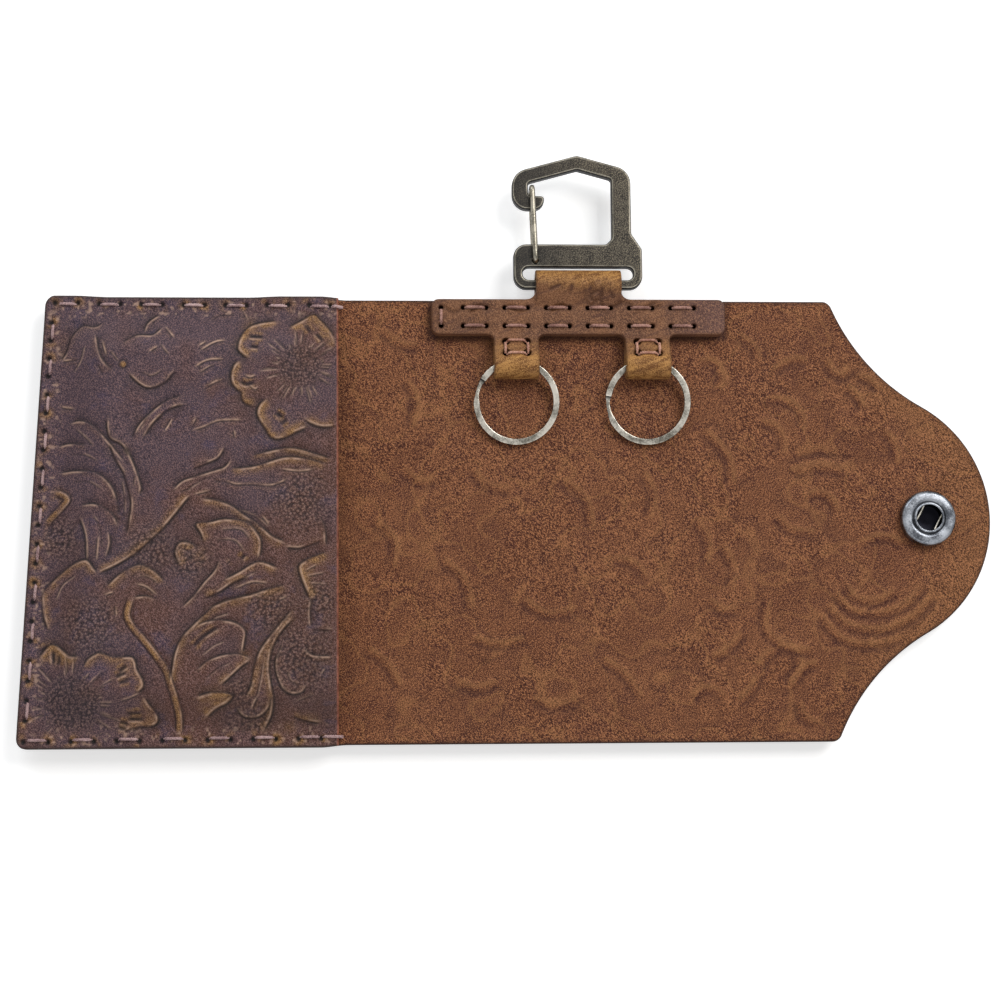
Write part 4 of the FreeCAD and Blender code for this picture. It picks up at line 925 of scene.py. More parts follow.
# Rows and columns next to an edge, by their distance from it, and the other rows' spacing
NEAR_ROWS = [0, 0.04, 0.12, 0.25, 0.42, 0.65, 0.95, 1.3, 1.7, 2.2]
NEAR_COLUMNS = np.array([0, 0.12, 0.3, 0.55, 0.9])
SHEET_STEP = 0.45
# Rounding of the sheet's edges, its slow waves, and the depth of the marks that show through
SHEET_ROUND, SHEET_WAVE, GHOST_DEPTH = 0.55, 0.12, 0.2
# How much the upper side lies below the sheet's full thickness, and the limits of tooling on the back
SHEET_SAG, BACK_TOOLING = 0.06, (-0.05, 0.6)
# The pale wear of the flap: distance from its edge, where it starts, and how far up and down it goes
FADE_EDGE, FADE_START, FADE_ENDS = (18, 0), (30, 60), (42, 24)
LEFT_MIDDLE = (LEFT_OUTER + LEFT_INNER) / 2
RIGHT_MIDDLE = (RIGHT_INNER + RIGHT_OUTER) / 2
# Columns of the cover, of the runs between the creases and of the flap
COVER_COLUMNS, FLAP_COLUMNS = 145, 84
INNER_COLUMNS = (
    (LEFT_OUTER, LEFT_MIDDLE, 20), (LEFT_MIDDLE, LEFT_INNER, 20), (LEFT_INNER, 0, 80),
    (0, RIGHT_INNER, 80), (RIGHT_INNER, RIGHT_MIDDLE, 26), (RIGHT_MIDDLE, RIGHT_OUTER, 26),
)
# The sheet's pieces from left to right: name, the two bodies, the crease between them and the nodes
SHEET_PIECES = (
    ("cover_leather", "left_cover", "left_spine", LEFT_OUTER, ("left_panel", "left_spine")),
    ("back_leather_left", "left_spine", "middle", LEFT_INNER, ("middle_panel",)),
    ("back_leather_right", "middle", "right_spine", RIGHT_INNER, ("right_spine",)),
    ("flap_leather", "right_spine", "flap", RIGHT_OUTER, ("closing_flap",)),
)


def row_places(step, near):
    """Rows up the sheet, closer together at its two ends."""
    inner = HALF - near[-1]
    count = int(round(2 * inner / step))
    ends = np.array(near[:-1])
    return np.concatenate([-HALF + ends, np.linspace(-inner, inner, count + 1), HALF - ends[::-1]])


def column_run(a, b, count):
    """Columns after a and up to b."""
    return a + (b - a) * (np.arange(1, count + 1) / count)[None, :]


def sheet_columns(y):
    """Places of the sheet's columns on each row, and the columns where its pieces meet."""
    low, high = left_edge(y)[:, None], right_edge(y)[:, None]
    runs = [low + NEAR_COLUMNS, column_run(low + NEAR_COLUMNS[-1], LEFT_OUTER, COVER_COLUMNS)]
    runs += [np.repeat(column_run(*run), len(y), axis=0) for run in INNER_COLUMNS]
    runs.append(column_run(RIGHT_OUTER + 0 * high, high - NEAR_COLUMNS[-1], FLAP_COLUMNS))
    runs.append(high - NEAR_COLUMNS[::-1][1:])
    ends = np.cumsum([run.shape[1] for run in runs]) - 1
    return np.concatenate(runs, axis=1), (0, ends[2], ends[4], ends[6], ends[-1])


def edge_distance(x, y):
    slope = np.gradient(right_edge(y[:, 0]), y[:, 0])[:, None]
    right = (right_edge(y) - x) / np.sqrt(1 + slope ** 2)
    return np.minimum(np.minimum(HALF - np.abs(y), x - left_edge(y)), right)


# Soft swirls that show through on the sheet's inner side, in pixels of the photograph: painted shade on
# their right and a painted highlight on their left
MARKS = [
    [(698, 365), (713, 363), (720, 377), (715, 390)], [(773, 373), (794, 361), (809, 365)],
    [(767, 400), (790, 404), (801, 419), (798, 431)], [(823, 358), (832, 373), (844, 377), (853, 366)],
    [(844, 388), (855, 396), (863, 411)], [(759, 423), (773, 427), (782, 442), (778, 454)],
    [(851, 463), (817, 458), (786, 466)], [(790, 474), (821, 469), (844, 474)],
    [(805, 500), (817, 494), (830, 500), (836, 515)], [(775, 515), (790, 531), (817, 535)],
    [(859, 546), (882, 538), (905, 546)], [(832, 592), (851, 611), (882, 615), (909, 604), (925, 585)],
    [(825, 604), (848, 627), (882, 631), (913, 619), (936, 596)],
    [(817, 615), (844, 642), (878, 646), (905, 638)], [(844, 585), (855, 600), (878, 602), (898, 592)],
    [(767, 596), (763, 627), (782, 646), (813, 654)],
    [(759, 669), (771, 654), (790, 650), (798, 665), (786, 685)], [(794, 685), (805, 669), (821, 665)],
    [(798, 700), (801, 715), (817, 727)], [(740, 704), (755, 688), (759, 673)],
    [(721, 546), (732, 569), (728, 592)], [(735, 335), (752, 347), (757, 362)],
    [(855, 377), (871, 382), (879, 393)], [(880, 430), (893, 445), (894, 466)],
    [(700, 430), (716, 444), (728, 462), (730, 486)], [(706, 600), (724, 612), (742, 610)],
    [(712, 660), (730, 650), (746, 632)], [(694, 520), (706, 540), (704, 566)],
    [(690, 700), (708, 690), (726, 700)], [(470, 470), (486, 486), (512, 492)],
    [(560, 480), (584, 500), (590, 530)], [(440, 560), (462, 580), (470, 612)],
    [(520, 600), (548, 616), (580, 610)], [(600, 660), (624, 676), (640, 700)],
    [(450, 680), (474, 690), (500, 684)], [(404, 380), (414, 400), (410, 430)],
    [(640, 470), (652, 496), (646, 520)], [(612, 560), (634, 566), (650, 586)],
    [(470, 640), (500, 646), (528, 640)], [(380, 330), (398, 345), (420, 348)],
    [(372, 520), (392, 540), (390, 570)], [(365, 650), (385, 664), (400, 690)],
    [(530, 700), (560, 708), (584, 698)], [(400, 470), (420, 484), (438, 480)],
]
# A swirl's width, reach and distance between points, and from what value it hides the tooling's ghost
MARK_WIDE, MARK_REACH, MARK_STEP = 0.85, 4, 1.2
MARK_LEAST = 0.12


def inner_marks(x, y):
    """Swirls on the sheet's inner side: up to 1 where dark, below 0 where pale. The dark and pale sides are
    painted shade and painted highlight of their relief.
    """
    marks = np.zeros(x.shape)
    for stroke in MARKS:
        line = smooth_line(on_level(stroke, SHEET), MARK_STEP)
        low, high = line.min(0) - MARK_REACH, line.max(0) + MARK_REACH
        close = (x > low[0]) & (x < high[0]) & (y > low[1]) & (y < high[1])
        s, _, taper = across(line, x[close], y[close])
        uneven = 0.55 + 0.45 * soft_noise(x[close] + 500, y[close] + 500, 1.6, 37)
        value = taper * uneven * (bell(s, -0.75, MARK_WIDE) - 0.8 * bell(s, 0.85, MARK_WIDE))
        marks[close] = np.where(np.abs(value) > np.abs(marks[close]), value, marks[close])
    return marks


# Half a tab's width and its lower end, as the painted shade follows them
TAB_HALF, TAB_FOOT = 4.1, 33.0


def beyond(low, high, value):
    """How far a value lies outside two limits."""
    return np.maximum(np.maximum(low - value, value - high), 0)


def holder_shade(x, y):
    """Painted shade along the foot of the sewn strip and of its two tabs."""
    out = np.hypot(beyond(*STRIP_BOX[:2], x), beyond(*STRIP_BOX[2:], y))
    for tab in TAB_PLACES.values():
        aside = beyond(tab - TAB_HALF, tab + TAB_HALF, x)
        out = np.minimum(out, np.hypot(aside, np.maximum(TAB_FOOT - y, 0)))
    return 0.7 * smoothstep(1.6, 0.1, out)


def make_sheet():
    """Grid of the whole sheet: places, upper and lower side, where its pieces meet, and its fields."""
    rows = row_places(SHEET_STEP, NEAR_ROWS)
    x, breaks = sheet_columns(rows)
    y = np.repeat(rows[:, None], x.shape[1], axis=1)
    near = edge_distance(x, y)
    inward = smoothstep(0.2, 2.0, near)
    drop = round_over(near, SHEET_ROUND)
    marks = inner_marks(x, y)
    ghost = np.where(np.abs(marks) > MARK_LEAST, marks, 0.6 * sample("ghost", x * 0.83 + 31, y)) * inward
    wave = SHEET_WAVE * (soft_noise(x + 300, y + 300, 9, 5) - 0.5)
    top = SHEET - drop + inward * (wave - GHOST_DEPTH * ghost - SHEET_SAG)
    low = drop + inward * np.clip(-sample("height", x, y), *BACK_TOOLING)
    fade = smoothstep(*FADE_EDGE, right_edge(y) - x) * smoothstep(*FADE_START, x)
    fade = fade * smoothstep(*FADE_ENDS, np.abs(y))
    worn = 0.7 * smoothstep(1.3, 0.3, near) * soft_noise(x, y, 2.2, 17)
    fields = {
        "ghost": ghost, "fade": fade, "shade": holder_shade(x, y),
        "groove": sample("groove", x, y) * inward, "rub": sample("rub", x, y) * inward,
        "edge": np.maximum(smoothstep(0.55, 0.15, near), worn),
    }
    return x, y, top, low, breaks, fields


def sheet_piece(name, grid, first, last, ends):
    """Piece of the sheet between two columns. Ends says which of them are real edges."""
    x, y, top, low, _, fields = grid
    part = slice(first, last + 1)
    rows, count = len(x), last + 1 - first
    size = rows * count
    wide_x, wide_y = spread(x[:, part], y[:, part])
    sides = [np.stack([wide_x, wide_y, z[:, part]], axis=-1).reshape(-1, 3) for z in (top, low)]
    faces = [grid_faces(rows, count), grid_faces(rows, count, size, flip=True)]
    foot, head = np.arange(count), np.arange(count) + (rows - 1) * count
    faces += [wall_faces(foot, foot + size), wall_faces(head, head + size, flip=True)]
    side = np.arange(rows) * count
    if ends[0]:
        faces.append(wall_faces(side, side + size, flip=True))
    if ends[1]:
        faces.append(wall_faces(side + count - 1, side + count - 1 + size))
    given = {key: np.concatenate([field[:, part].ravel()] * 2) for key, field in fields.items()}
    given["back"] = np.concatenate([np.zeros(size), np.ones(size)])
    return make_piece(name, np.vstack(sides), np.vstack(faces), SHEET_LEATHER, **given)


def crease(piece):
    """Bakes the piece's placement into its points."""
    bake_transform(piece)


def build_sheet():
    grid = make_sheet()
    breaks = grid[4]
    final = len(SHEET_PIECES) - 1
    for index, (name, a, b, x, nodes) in enumerate(SHEET_PIECES):
        piece = sheet_piece(name, grid, breaks[index], breaks[index + 1], (index == 0, index == final))
        crease(piece)
        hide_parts(*nodes)


# Pocket: spacing of its points, rows next to its edges, rounding, and columns per column of the lining

POCKET_STEP = 0.18
POCKET_NEAR_ROWS = 6
POCKET_ROUND = 0.5
LINING_COLUMNS = 10
# The tooling sets in at these distances from the seam and from the mouth
TOOLED_SEAM, TOOLED_MOUTH = (2.2, 4.2), (0.4, 1.6)
# A stitch hole's depth, the widths of its hollow and of its painted shade, and the rubbed leather round it
HOLE_DEPTH, HOLE_HOLLOW, HOLE_DARK, HOLE_RUB = 0.7, 0.55, 0.6, 0.9


def border_wear(x, y, sewn):
    """Small scuffs along the sewn border: their height, and their pale wear."""
    scuff = soft_noise(x * 1.3 + 60, y + 60, 1.1, 41) * soft_noise(x + 10, y * 1.2 + 10, 0.6, 43)
    share = smoothstep(0.3, 0.9, sewn) * smoothstep(5.5, 3.0, sewn)
    return -0.12 * share * smoothstep(0.3, 0.5, scuff), 0.5 * share * smoothstep(0.38, 0.6, scuff)


def make_pocket():
    """Grid of the pocket's front: places, outer and inner side, and its fields."""
    rows = row_places(POCKET_STEP, NEAR_ROWS[:POCKET_NEAR_ROWS])
    low = left_edge(rows)[:, None]
    mouth = MOUTH + 0 * low
    count = int((MOUTH - left_line(-HALF)) / POCKET_STEP)
    x = np.concatenate([
        low + NEAR_COLUMNS,
        column_run(low + NEAR_COLUMNS[-1], mouth - NEAR_COLUMNS[-1], count),
        mouth - NEAR_COLUMNS[::-1][1:],
    ], axis=1)
    y = np.repeat(rows[:, None], x.shape[1], axis=1)
    sewn = np.minimum(HALF - np.abs(y), x - left_edge(y))
    inward = smoothstep(*TOOLED_SEAM, sewn) * smoothstep(*TOOLED_MOUTH, MOUTH - x)
    hole = near_holes(x, y)
    plain = pocket_height(x, y)
    scuff, scuff_rim = border_wear(x, y, sewn)
    height = inward * sample("height", x, y) - HOLE_DEPTH * bell(hole, 0, HOLE_HOLLOW) + scuff
    outer = plain + height - round_over(np.minimum(sewn, MOUTH - x), POCKET_ROUND)
    ragged = smoothstep(0.3, 0.85, soft_noise(x + 40, y + 40, 1.5, 23))
    rubbed = 0.85 * ragged * bell(np.maximum(hole - HOLE_DARK, 0), 0, HOLE_RUB)
    worn = 0.6 * smoothstep(1.2, 0.3, sewn) * soft_noise(x, y, 1.7, 29)
    fields = {
        # The stitch holes are painted dark: painted shade in the holes
        "groove": np.maximum(inward * sample("groove", x, y), bell(hole, 0, HOLE_DARK, 4)),
        "rub": np.maximum(inward * sample("rub", x, y), rubbed),
        # Painted rim highlights of the tooling, and the pale wear of the scuffs
        "rim_highlight_and_scuff": np.maximum(inward * sample("rim_highlight_and_scuff", x, y), scuff_rim),
        "edge": np.maximum(smoothstep(0.6, 0.15, sewn), worn),
        "cut": smoothstep(0.42, 0.2, MOUTH - x),
    }
    return *spread(x, y), outer, plain - POCKET_LEATHER, fields


def build_pocket():
    x, y, outer, inner, fields = make_pocket()
    rows, cols = x.shape
    keep = np.unique(np.concatenate([np.arange(0, cols, LINING_COLUMNS), [cols - 1]]))
    face = np.stack([x, y, outer], axis=-1).reshape(-1, 3)
    inside = np.maximum(inner[:, keep], SHEET)
    lining = np.stack([x[:, keep], y[:, keep], inside], axis=-1).reshape(-1, 3)
    size = rows * cols
    front = np.arange(cols)
    hem = [front, front + (rows - 1) * cols]
    skirt = np.vstack([face[line] * [1, 1, 0] + [0, 0, SHEET] for line in hem])
    below = size + len(lining)
    side = np.arange(rows)
    mouth = size + side * len(keep) + len(keep) - 1
    faces = [
        grid_faces(rows, cols),
        grid_faces(rows, len(keep), size, flip=True),
        wall_faces(side * cols + cols - 1, mouth),
        wall_faces(side * cols, size + side * len(keep), flip=True),
        wall_faces(hem[0], below + front),
        wall_faces(hem[1], below + cols + front, flip=True),
    ]
    given = {}
    for key, field in fields.items():
        hems = [field.ravel()[line] for line in hem]
        given[key] = np.concatenate([field.ravel(), np.zeros(len(lining)), *hems])
    given["cut"][mouth] = 1
    points = np.vstack([face, lining, skirt])
    piece = make_piece("pocket_front", points, np.vstack(faces), TOOLED_LEATHER, **given)
    settle(piece, "left_cover", "pocket_panel")


# Threads: three strands each, whose radius, distance from the middle and pitch are shares of the
# thread's thickness, as are a stitch's lift, the rise in its middle and the length of its bent ends

STRANDS, STRAND_SIDES = 3, 7
STRAND_RADIUS, STRAND_OFF, STRAND_PITCH = 0.29, 0.24, 2.1
STITCH_LIFT, STITCH_RISE, STITCH_END = 0.42, 0.1, 0.9
# Distance between points on a stitch, its least points, how deep its ends dive, and its twist by number
STITCH_STEP, STITCH_POINTS, STITCH_DIVE, STITCH_TWIST = 0.28, 12, 0.5, 1.7
POCKET_THREAD_SIZE, TAB_THREAD_SIZE = 0.72, 0.62
ABOVE, BELOW, EAST = (0, 0, 1), (0, 0, -1), (1, 0, 0)
HOLE_EDGE = 0.55
# The last stitch goes over the mouth's edge: how far out and down it bends, and where it ends
LAP_OUT, LAP_END, LAP_FOOT = 0.15, 0.5, 0.1
# The two rows of the holder's thread: places in Y, first hole, spacing, length and number of stitches,
# and the hole at the end
HOLDER_ROWS = (43.0, 47.1)
HOLDER_FIRST, HOLDER_PITCH, HOLDER_STITCH, HOLDER_COUNT = -24.2, 9.26, 5.1, 6
HOLDER_STARTS = HOLDER_FIRST + HOLDER_PITCH * np.arange(HOLDER_COUNT)
HOLDER_END_X = -29.1
# The square of stitches on a tab, and the slope it lies on, from the strip's foot up to the tab's bend,
# in Y and Z
TAB_STITCH_TOP, TAB_STITCH_LOW = 39.45, 36.35
TAB_STITCH_HALF = 2.5
CORNER_GAP = 0.45
SLOPE_FOOT, SLOPE_HEAD = (41.05, 4.9), (35.5, 7.84)


def strand_tube(path, normal, radius, offset=0.0, pitch=1.0, phase=0.0):
    """A round strand that winds about a path, or lies on it."""
    ahead = unit(np.gradient(path, axis=0))
    aside = unit(np.cross(ahead, normal))
    up = np.cross(aside, ahead)

    def about(angle):
        return np.cos(angle)[..., None] * aside + np.sin(angle)[..., None] * up

    centre = path + offset * about(FULL_TURN * run_along(path) / pitch + phase)
    round_angles = np.linspace(0, FULL_TURN, STRAND_SIDES, endpoint=False)
    rings = np.stack([about(np.full(len(path), angle)) for angle in round_angles], axis=1)
    points = (centre[:, None, :] + radius * rings).reshape(-1, 3)
    return points, tube_faces(len(path), STRAND_SIDES)


def join(tubes):
    """Points and faces of several tubes as those of one mesh."""
    starts = np.cumsum([0] + [len(points) for points, _ in tubes])
    faces = [quads + start for (_, quads), start in zip(tubes, starts)]
    return np.vstack([points for points, _ in tubes]), np.vstack(faces)


def stitch_path(a, b, normal, thickness):
    """Path of one stitch: out of a hole, along the surface and into the next hole."""
    length = np.linalg.norm(b - a)
    t = np.linspace(0, 1, max(STITCH_POINTS, int(length / STITCH_STEP)))
    lift = STITCH_LIFT * thickness + STITCH_RISE * thickness * np.sin(math.pi * t)
    ends = np.clip(1 - np.minimum(t, 1 - t) * length / (STITCH_END * thickness), 0, 1)
    return a + (b - a) * t[:, None] + normal * (lift - (lift + STITCH_DIVE) * ends ** 2)[:, None]


def build_thread(name, node, stitches, thickness, body, material):
    """Stitches of one seam, given as pairs of places with the way that their surface looks."""
    tubes = []
    for index, stitch in enumerate(stitches):
        a, b, normal = (np.asarray(v, float) for v in stitch)
        path = stitch_path(a, b, normal, thickness)
        for strand in range(STRANDS):
            phase = FULL_TURN * strand / STRANDS + STITCH_TWIST * index
            tubes.append(strand_tube(path, normal, STRAND_RADIUS * thickness, STRAND_OFF * thickness,
                                     STRAND_PITCH * thickness, phase))
    settle(make_piece(name, *join(tubes), material), body, node)


def between_holes(a, b, height, way):
    """A stitch from the near edge of one hole to the near edge of the next."""
    a, b = np.asarray(a, float), np.asarray(b, float)
    ahead = unit(b - a) * HOLE_EDGE
    return (*(a + ahead), height), (*(b - ahead), height), way


def build_pocket_threads():
    """Running stitches, by turns on the front and on the back. Top and bottom end over the mouth."""
    for side, row in ROWS.items():
        stitches = []
        for index, (a, b) in enumerate(zip(row[:-1], row[1:])):
            stitches.append(between_holes(a, b, *((0.0, BELOW) if index % 2 else (BORDER_TOP, ABOVE))))
        if side != "side":
            x, y = row[-1]
            over = (MOUTH + LAP_OUT, y, BORDER_TOP - LAP_OUT)
            stitches.append(((x + HOLE_EDGE, y, BORDER_TOP), over, ABOVE))
            stitches.append((over, (MOUTH + LAP_END, y, SHEET + LAP_FOOT), EAST))
        build_thread(f"stitches_{side}", f"pocket_thread_{side}", stitches, POCKET_THREAD_SIZE,
                     "left_cover", POCKET_THREAD)


def build_holder_threads():
    stitches = []
    for y in HOLDER_ROWS:
        for x in HOLDER_STARTS:
            stitches.append(between_holes((x, y), (x + HOLDER_STITCH, y), STRIP_TOP, ABOVE))
        for x in HOLDER_STARTS[:-1]:
            stitches.append(between_holes((x + HOLDER_STITCH, y), (x + HOLDER_PITCH, y), 0, BELOW))
        stitches.append(between_holes((HOLDER_END_X, y), (HOLDER_FIRST, y), 0, BELOW))
    ends = [(HOLDER_END_X, y) for y in HOLDER_ROWS]
    stitches.append(between_holes(*ends, STRIP_TOP, ABOVE))
    build_thread("stitches_holder", "holder_thread", stitches, POCKET_THREAD_SIZE, "middle", HOLDER_THREAD)


def build_tab_threads():
    fall = (SLOPE_HEAD[1] - SLOPE_FOOT[1]) / (SLOPE_FOOT[0] - SLOPE_HEAD[0])
    normal = unit([0, fall, 1])
    for side, x in TAB_PLACES.items():
        across_x = np.array([-1, 1, 1, -1]) * TAB_STITCH_HALF + x
        up_y = np.array([TAB_STITCH_TOP, TAB_STITCH_TOP, TAB_STITCH_LOW, TAB_STITCH_LOW])
        corners = list(np.column_stack([across_x, up_y, SLOPE_FOOT[1] + (SLOPE_FOOT[0] - up_y) * fall]))
        stitches = []
        for a, b in zip(corners, corners[1:] + corners[:1]):
            ahead = unit(b - a) * CORNER_GAP
            stitches.append((a + ahead, b - ahead, normal))
        build_thread(f"stitches_tab_{side}", f"tab_thread_{side}", stitches, TAB_THREAD_SIZE,
                     "middle", TAB_THREAD)


# Pieces that start from the CAD solid, with soft edges

def read(items, what, kind, width):
    """Values of a mesh's points or edges as rows of an array."""
    values = np.empty(len(items) * width, kind)
    items.foreach_get(what, values)
    return values.reshape(-1, width)


def neighbour_mean(values, pairs):
    """Mean of each point's neighbours."""
    total, count = np.zeros_like(values), np.zeros(len(values))
    for a, b in (pairs.T, pairs.T[::-1]):
        np.add.at(total, a, values[b])
        np.add.at(count, a, 1)
    return total / np.maximum(count, 1).reshape(-1, *[1] * (values.ndim - 1))


def smoothed(values, pairs, rounds):
    for _ in range(rounds):
        values = 0.5 * values + 0.5 * neighbour_mean(values, pairs)
    return values


# How near points are joined, and for hook and holder the size of even faces and the rounds of rubbing
WELD = 0.002
HOOK_VOXEL, HOOK_ROUNDS = 0.2, 5
HOLDER_VOXEL, HOLDER_ROUNDS = 0.22, 4


def softened_copy(name, node, voxel, rounds):
    """Copy of a CAD solid in a new object, with even small faces and its edges rubbed round."""
    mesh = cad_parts[node].data.copy()
    work = bmesh.new()
    work.from_mesh(mesh)
    bmesh.ops.remove_doubles(work, verts=work.verts, dist=WELD * MM)
    work.to_mesh(mesh)
    work.free()
    mesh.materials.clear()
    piece = new_object(name, mesh)
    remesh = piece.modifiers.new("even", "REMESH")
    remesh.mode = "VOXEL"
    remesh.voxel_size = voxel * MM
    even = bpy.data.meshes.new_from_object(piece.evaluated_get(bpy.context.evaluated_depsgraph_get()))
    piece.modifiers.clear()
    piece.data = even
    even.name = name
    pairs = read(even.edges, "vertices", np.int32, 2)
    points = smoothed(read(even.vertices, "co", np.float32, 3).astype(float) / MM, pairs, rounds)
    set_points(piece, points)
    return piece, points, pairs


def set_points(piece, points):
    piece.data.vertices.foreach_set("co", (points * MM).astype(np.float32).ravel())
    piece.data.update()
    piece.data.shade_smooth()


def point_normals(piece):
    return read(piece.data.vertices, "normal", np.float32, 3)


def sharpness(piece, points, pairs, size):
    """How far each point stands out of the mean of its neighbours, from 0 to 1."""
    out = ((points - neighbour_mean(points, pairs)) * point_normals(piece)).sum(1)
    return np.clip(smoothed(out, pairs, 2) / size, 0, 1)


def build_hook():
    piece, points, _ = softened_copy("hook_body", "hook_frame", HOOK_VOXEL, HOOK_ROUNDS)
    flat = np.abs(point_normals(piece)[:, 2])
    # edge marks the thin line of painted glint where the faces turn, and the steep sides get painted shade
    keep_fields(piece.data, points, edge=bell(flat, 0.93, 0.04), wall=1 - smoothstep(0.45, 0.88, flat))
    piece.data.materials.append(BRONZE)
    settle(piece, "hook", "hook_frame")


# Cuts and soft marks on the holder strip, in pixels of the photograph
STRIP_CUTS = [
    [(583, 304), (590, 296), (601, 291)], [(588, 307), (597, 301), (603, 300)],
    [(467, 313), (478, 306), (492, 308)], [(505, 304), (520, 310), (533, 306)],
    [(548, 312), (560, 305), (572, 309)], [(610, 310), (622, 303), (634, 306)], [(643, 309), (657, 302)],
    [(648, 311), (661, 305)], [(442, 305), (452, 312), (462, 310)], [(584, 289), (586, 300), (590, 307)],
    [(591, 284), (589, 294), (593, 304)], [(602, 287), (600, 299), (603, 309)], [(547, 292), (562, 285)],
    [(608, 291), (614, 300)], [(572, 284), (569, 296)],
]
# A cut's distance between points, width and depth, the strap's middle, and what counts as a full edge
CUT_STEP, CUT_WIDE, CUT_DEPTH = 0.6, 0.42, 0.4
STRAP_X = 1.5
HOLDER_SHARP = 0.03
# Places in Y between which the cuts and the strap's creases set in and end, and where the leather of
# the tabs and of the strap's loop turns to gold
CUTS_START, CUTS_END = (41.3, 42.0), (54.5, 53.0)
FOLDS_START, FOLDS_END = (48.8, 50.3), (55.6, 53.0)
TAB_GOLD, TAB_WARM, LOOP_GOLD = (37.0, 34.5), (40.8, 38.0), (49.6, 54.6)
# Where the strip's right end turns cooler, in X and Y
COOL_X, COOL_Y = (18, 32), (40.5, 42)
# The strap's creases: depth, turn of their wave per millimetre, and their middle and width
FOLD_DEPTH, FOLD_TURN, FOLD_MIDDLE, FOLD_WIDE = 0.22, 2.1, 2.2, 4.2
# Height of the slack waves
SLACK = 0.12


def holder_wrinkles(points):
    """Height of the fine upright creases on the strap and of slack waves all over the holder."""
    x, y, _ = points.T
    on_strap = smoothstep(*FOLDS_START, y) * smoothstep(*FOLDS_END, y)
    fold = np.sin((x - STRAP_X) * FOLD_TURN + 2.2 * soft_noise(x + 90, y * 0.4, 3.0, 11)) ** 3
    near_middle = bell(x, STRAP_X + FOLD_MIDDLE, FOLD_WIDE)
    slack = SLACK * (soft_noise(x + 70, y + 70, 4.5, 12) - 0.5)
    return FOLD_DEPTH * on_strap * fold * near_middle + slack


def strip_cuts(points):
    """Share of the leaf-like cuts at each point of the strip and of the strap's foot."""
    x, y, _ = points.T
    share = np.zeros(len(points))
    for stroke in STRIP_CUTS:
        s, _, taper = across(smooth_line(on_level(stroke, STRIP_TOP), CUT_STEP), x, y)
        share = np.maximum(share, taper * bell(s, 0, CUT_WIDE))
    return share * smoothstep(*CUTS_START, y) * smoothstep(*CUTS_END, y)


def holder_holes(points):
    """Share of the painted shade in the stitch holes at each point of the strip."""
    row = (*HOLDER_STARTS, *(HOLDER_STARTS + HOLDER_STITCH), HOLDER_END_X)
    places = [(x, y) for y in HOLDER_ROWS for x in row]
    far = np.min([np.hypot(points[:, 0] - x, points[:, 1] - y) for x, y in places], axis=0)
    return bell(far, 0, 0.62, 4)


def build_holder():
    piece, points, pairs = softened_copy("holder_leather_strip", "holder_strip", HOLDER_VOXEL, HOLDER_ROUNDS)
    facing = smoothstep(0.3, 0.8, point_normals(piece)[:, 2])
    edge = sharpness(piece, points, pairs, HOLDER_SHARP)
    cuts = facing * strip_cuts(points)
    points[:, 2] += facing * holder_wrinkles(points) - CUT_DEPTH * cuts
    set_points(piece, points)
    x, y, _ = points.T
    tab = smoothstep(*TAB_GOLD, y) + 0.45 * smoothstep(*TAB_WARM, y)
    loop = smoothstep(*LOOP_GOLD, y + 0.06 * (x - STRAP_X)) - 0.4 * cuts
    cool = 0.7 * smoothstep(*COOL_X, x) * smoothstep(*COOL_Y, y)
    # crease is painted shade in the cuts and the stitch holes
    keep_fields(piece.data, points, bend=np.clip(tab + loop, 0, 1), edge=0.6 * edge, cool=cool,
                crease=np.maximum(0.45 * cuts, holder_holes(points)))
    piece.data.materials.append(HOLDER_LEATHER)
    settle(piece, "middle", "holder_strip")


# Split rings: tilt, centre in Y and Z, outer radius, width, thickness and slit of the flat wire, the step
# between its turns, and where its open end lies

RING_TILT = math.radians(7.97)
RING_CENTRE = (26.05, 3.98)
RING_OUTER, RING_WIDE, RING_THICK, RING_SLIT = 9.5, 1.3, 0.57, 0.06
RING_RAMP = math.radians(36)
RING_ENDS = {"left": 183, "right": 208}
RING_STEPS, RING_SIDES = 300, 20
# Power that squares the wire's section, what the wire loses in width along the step, and the painted shade
# at the open end
RING_SQUARE, RING_NARROW = 0.3, 0.4
RING_CUT, RING_CUT_WIDE = 0.95, 0.12


def squared(value):
    """Sine or cosine pushed towards -1 and 1, for a section with round corners."""
    return np.sign(value) * np.abs(value) ** RING_SQUARE


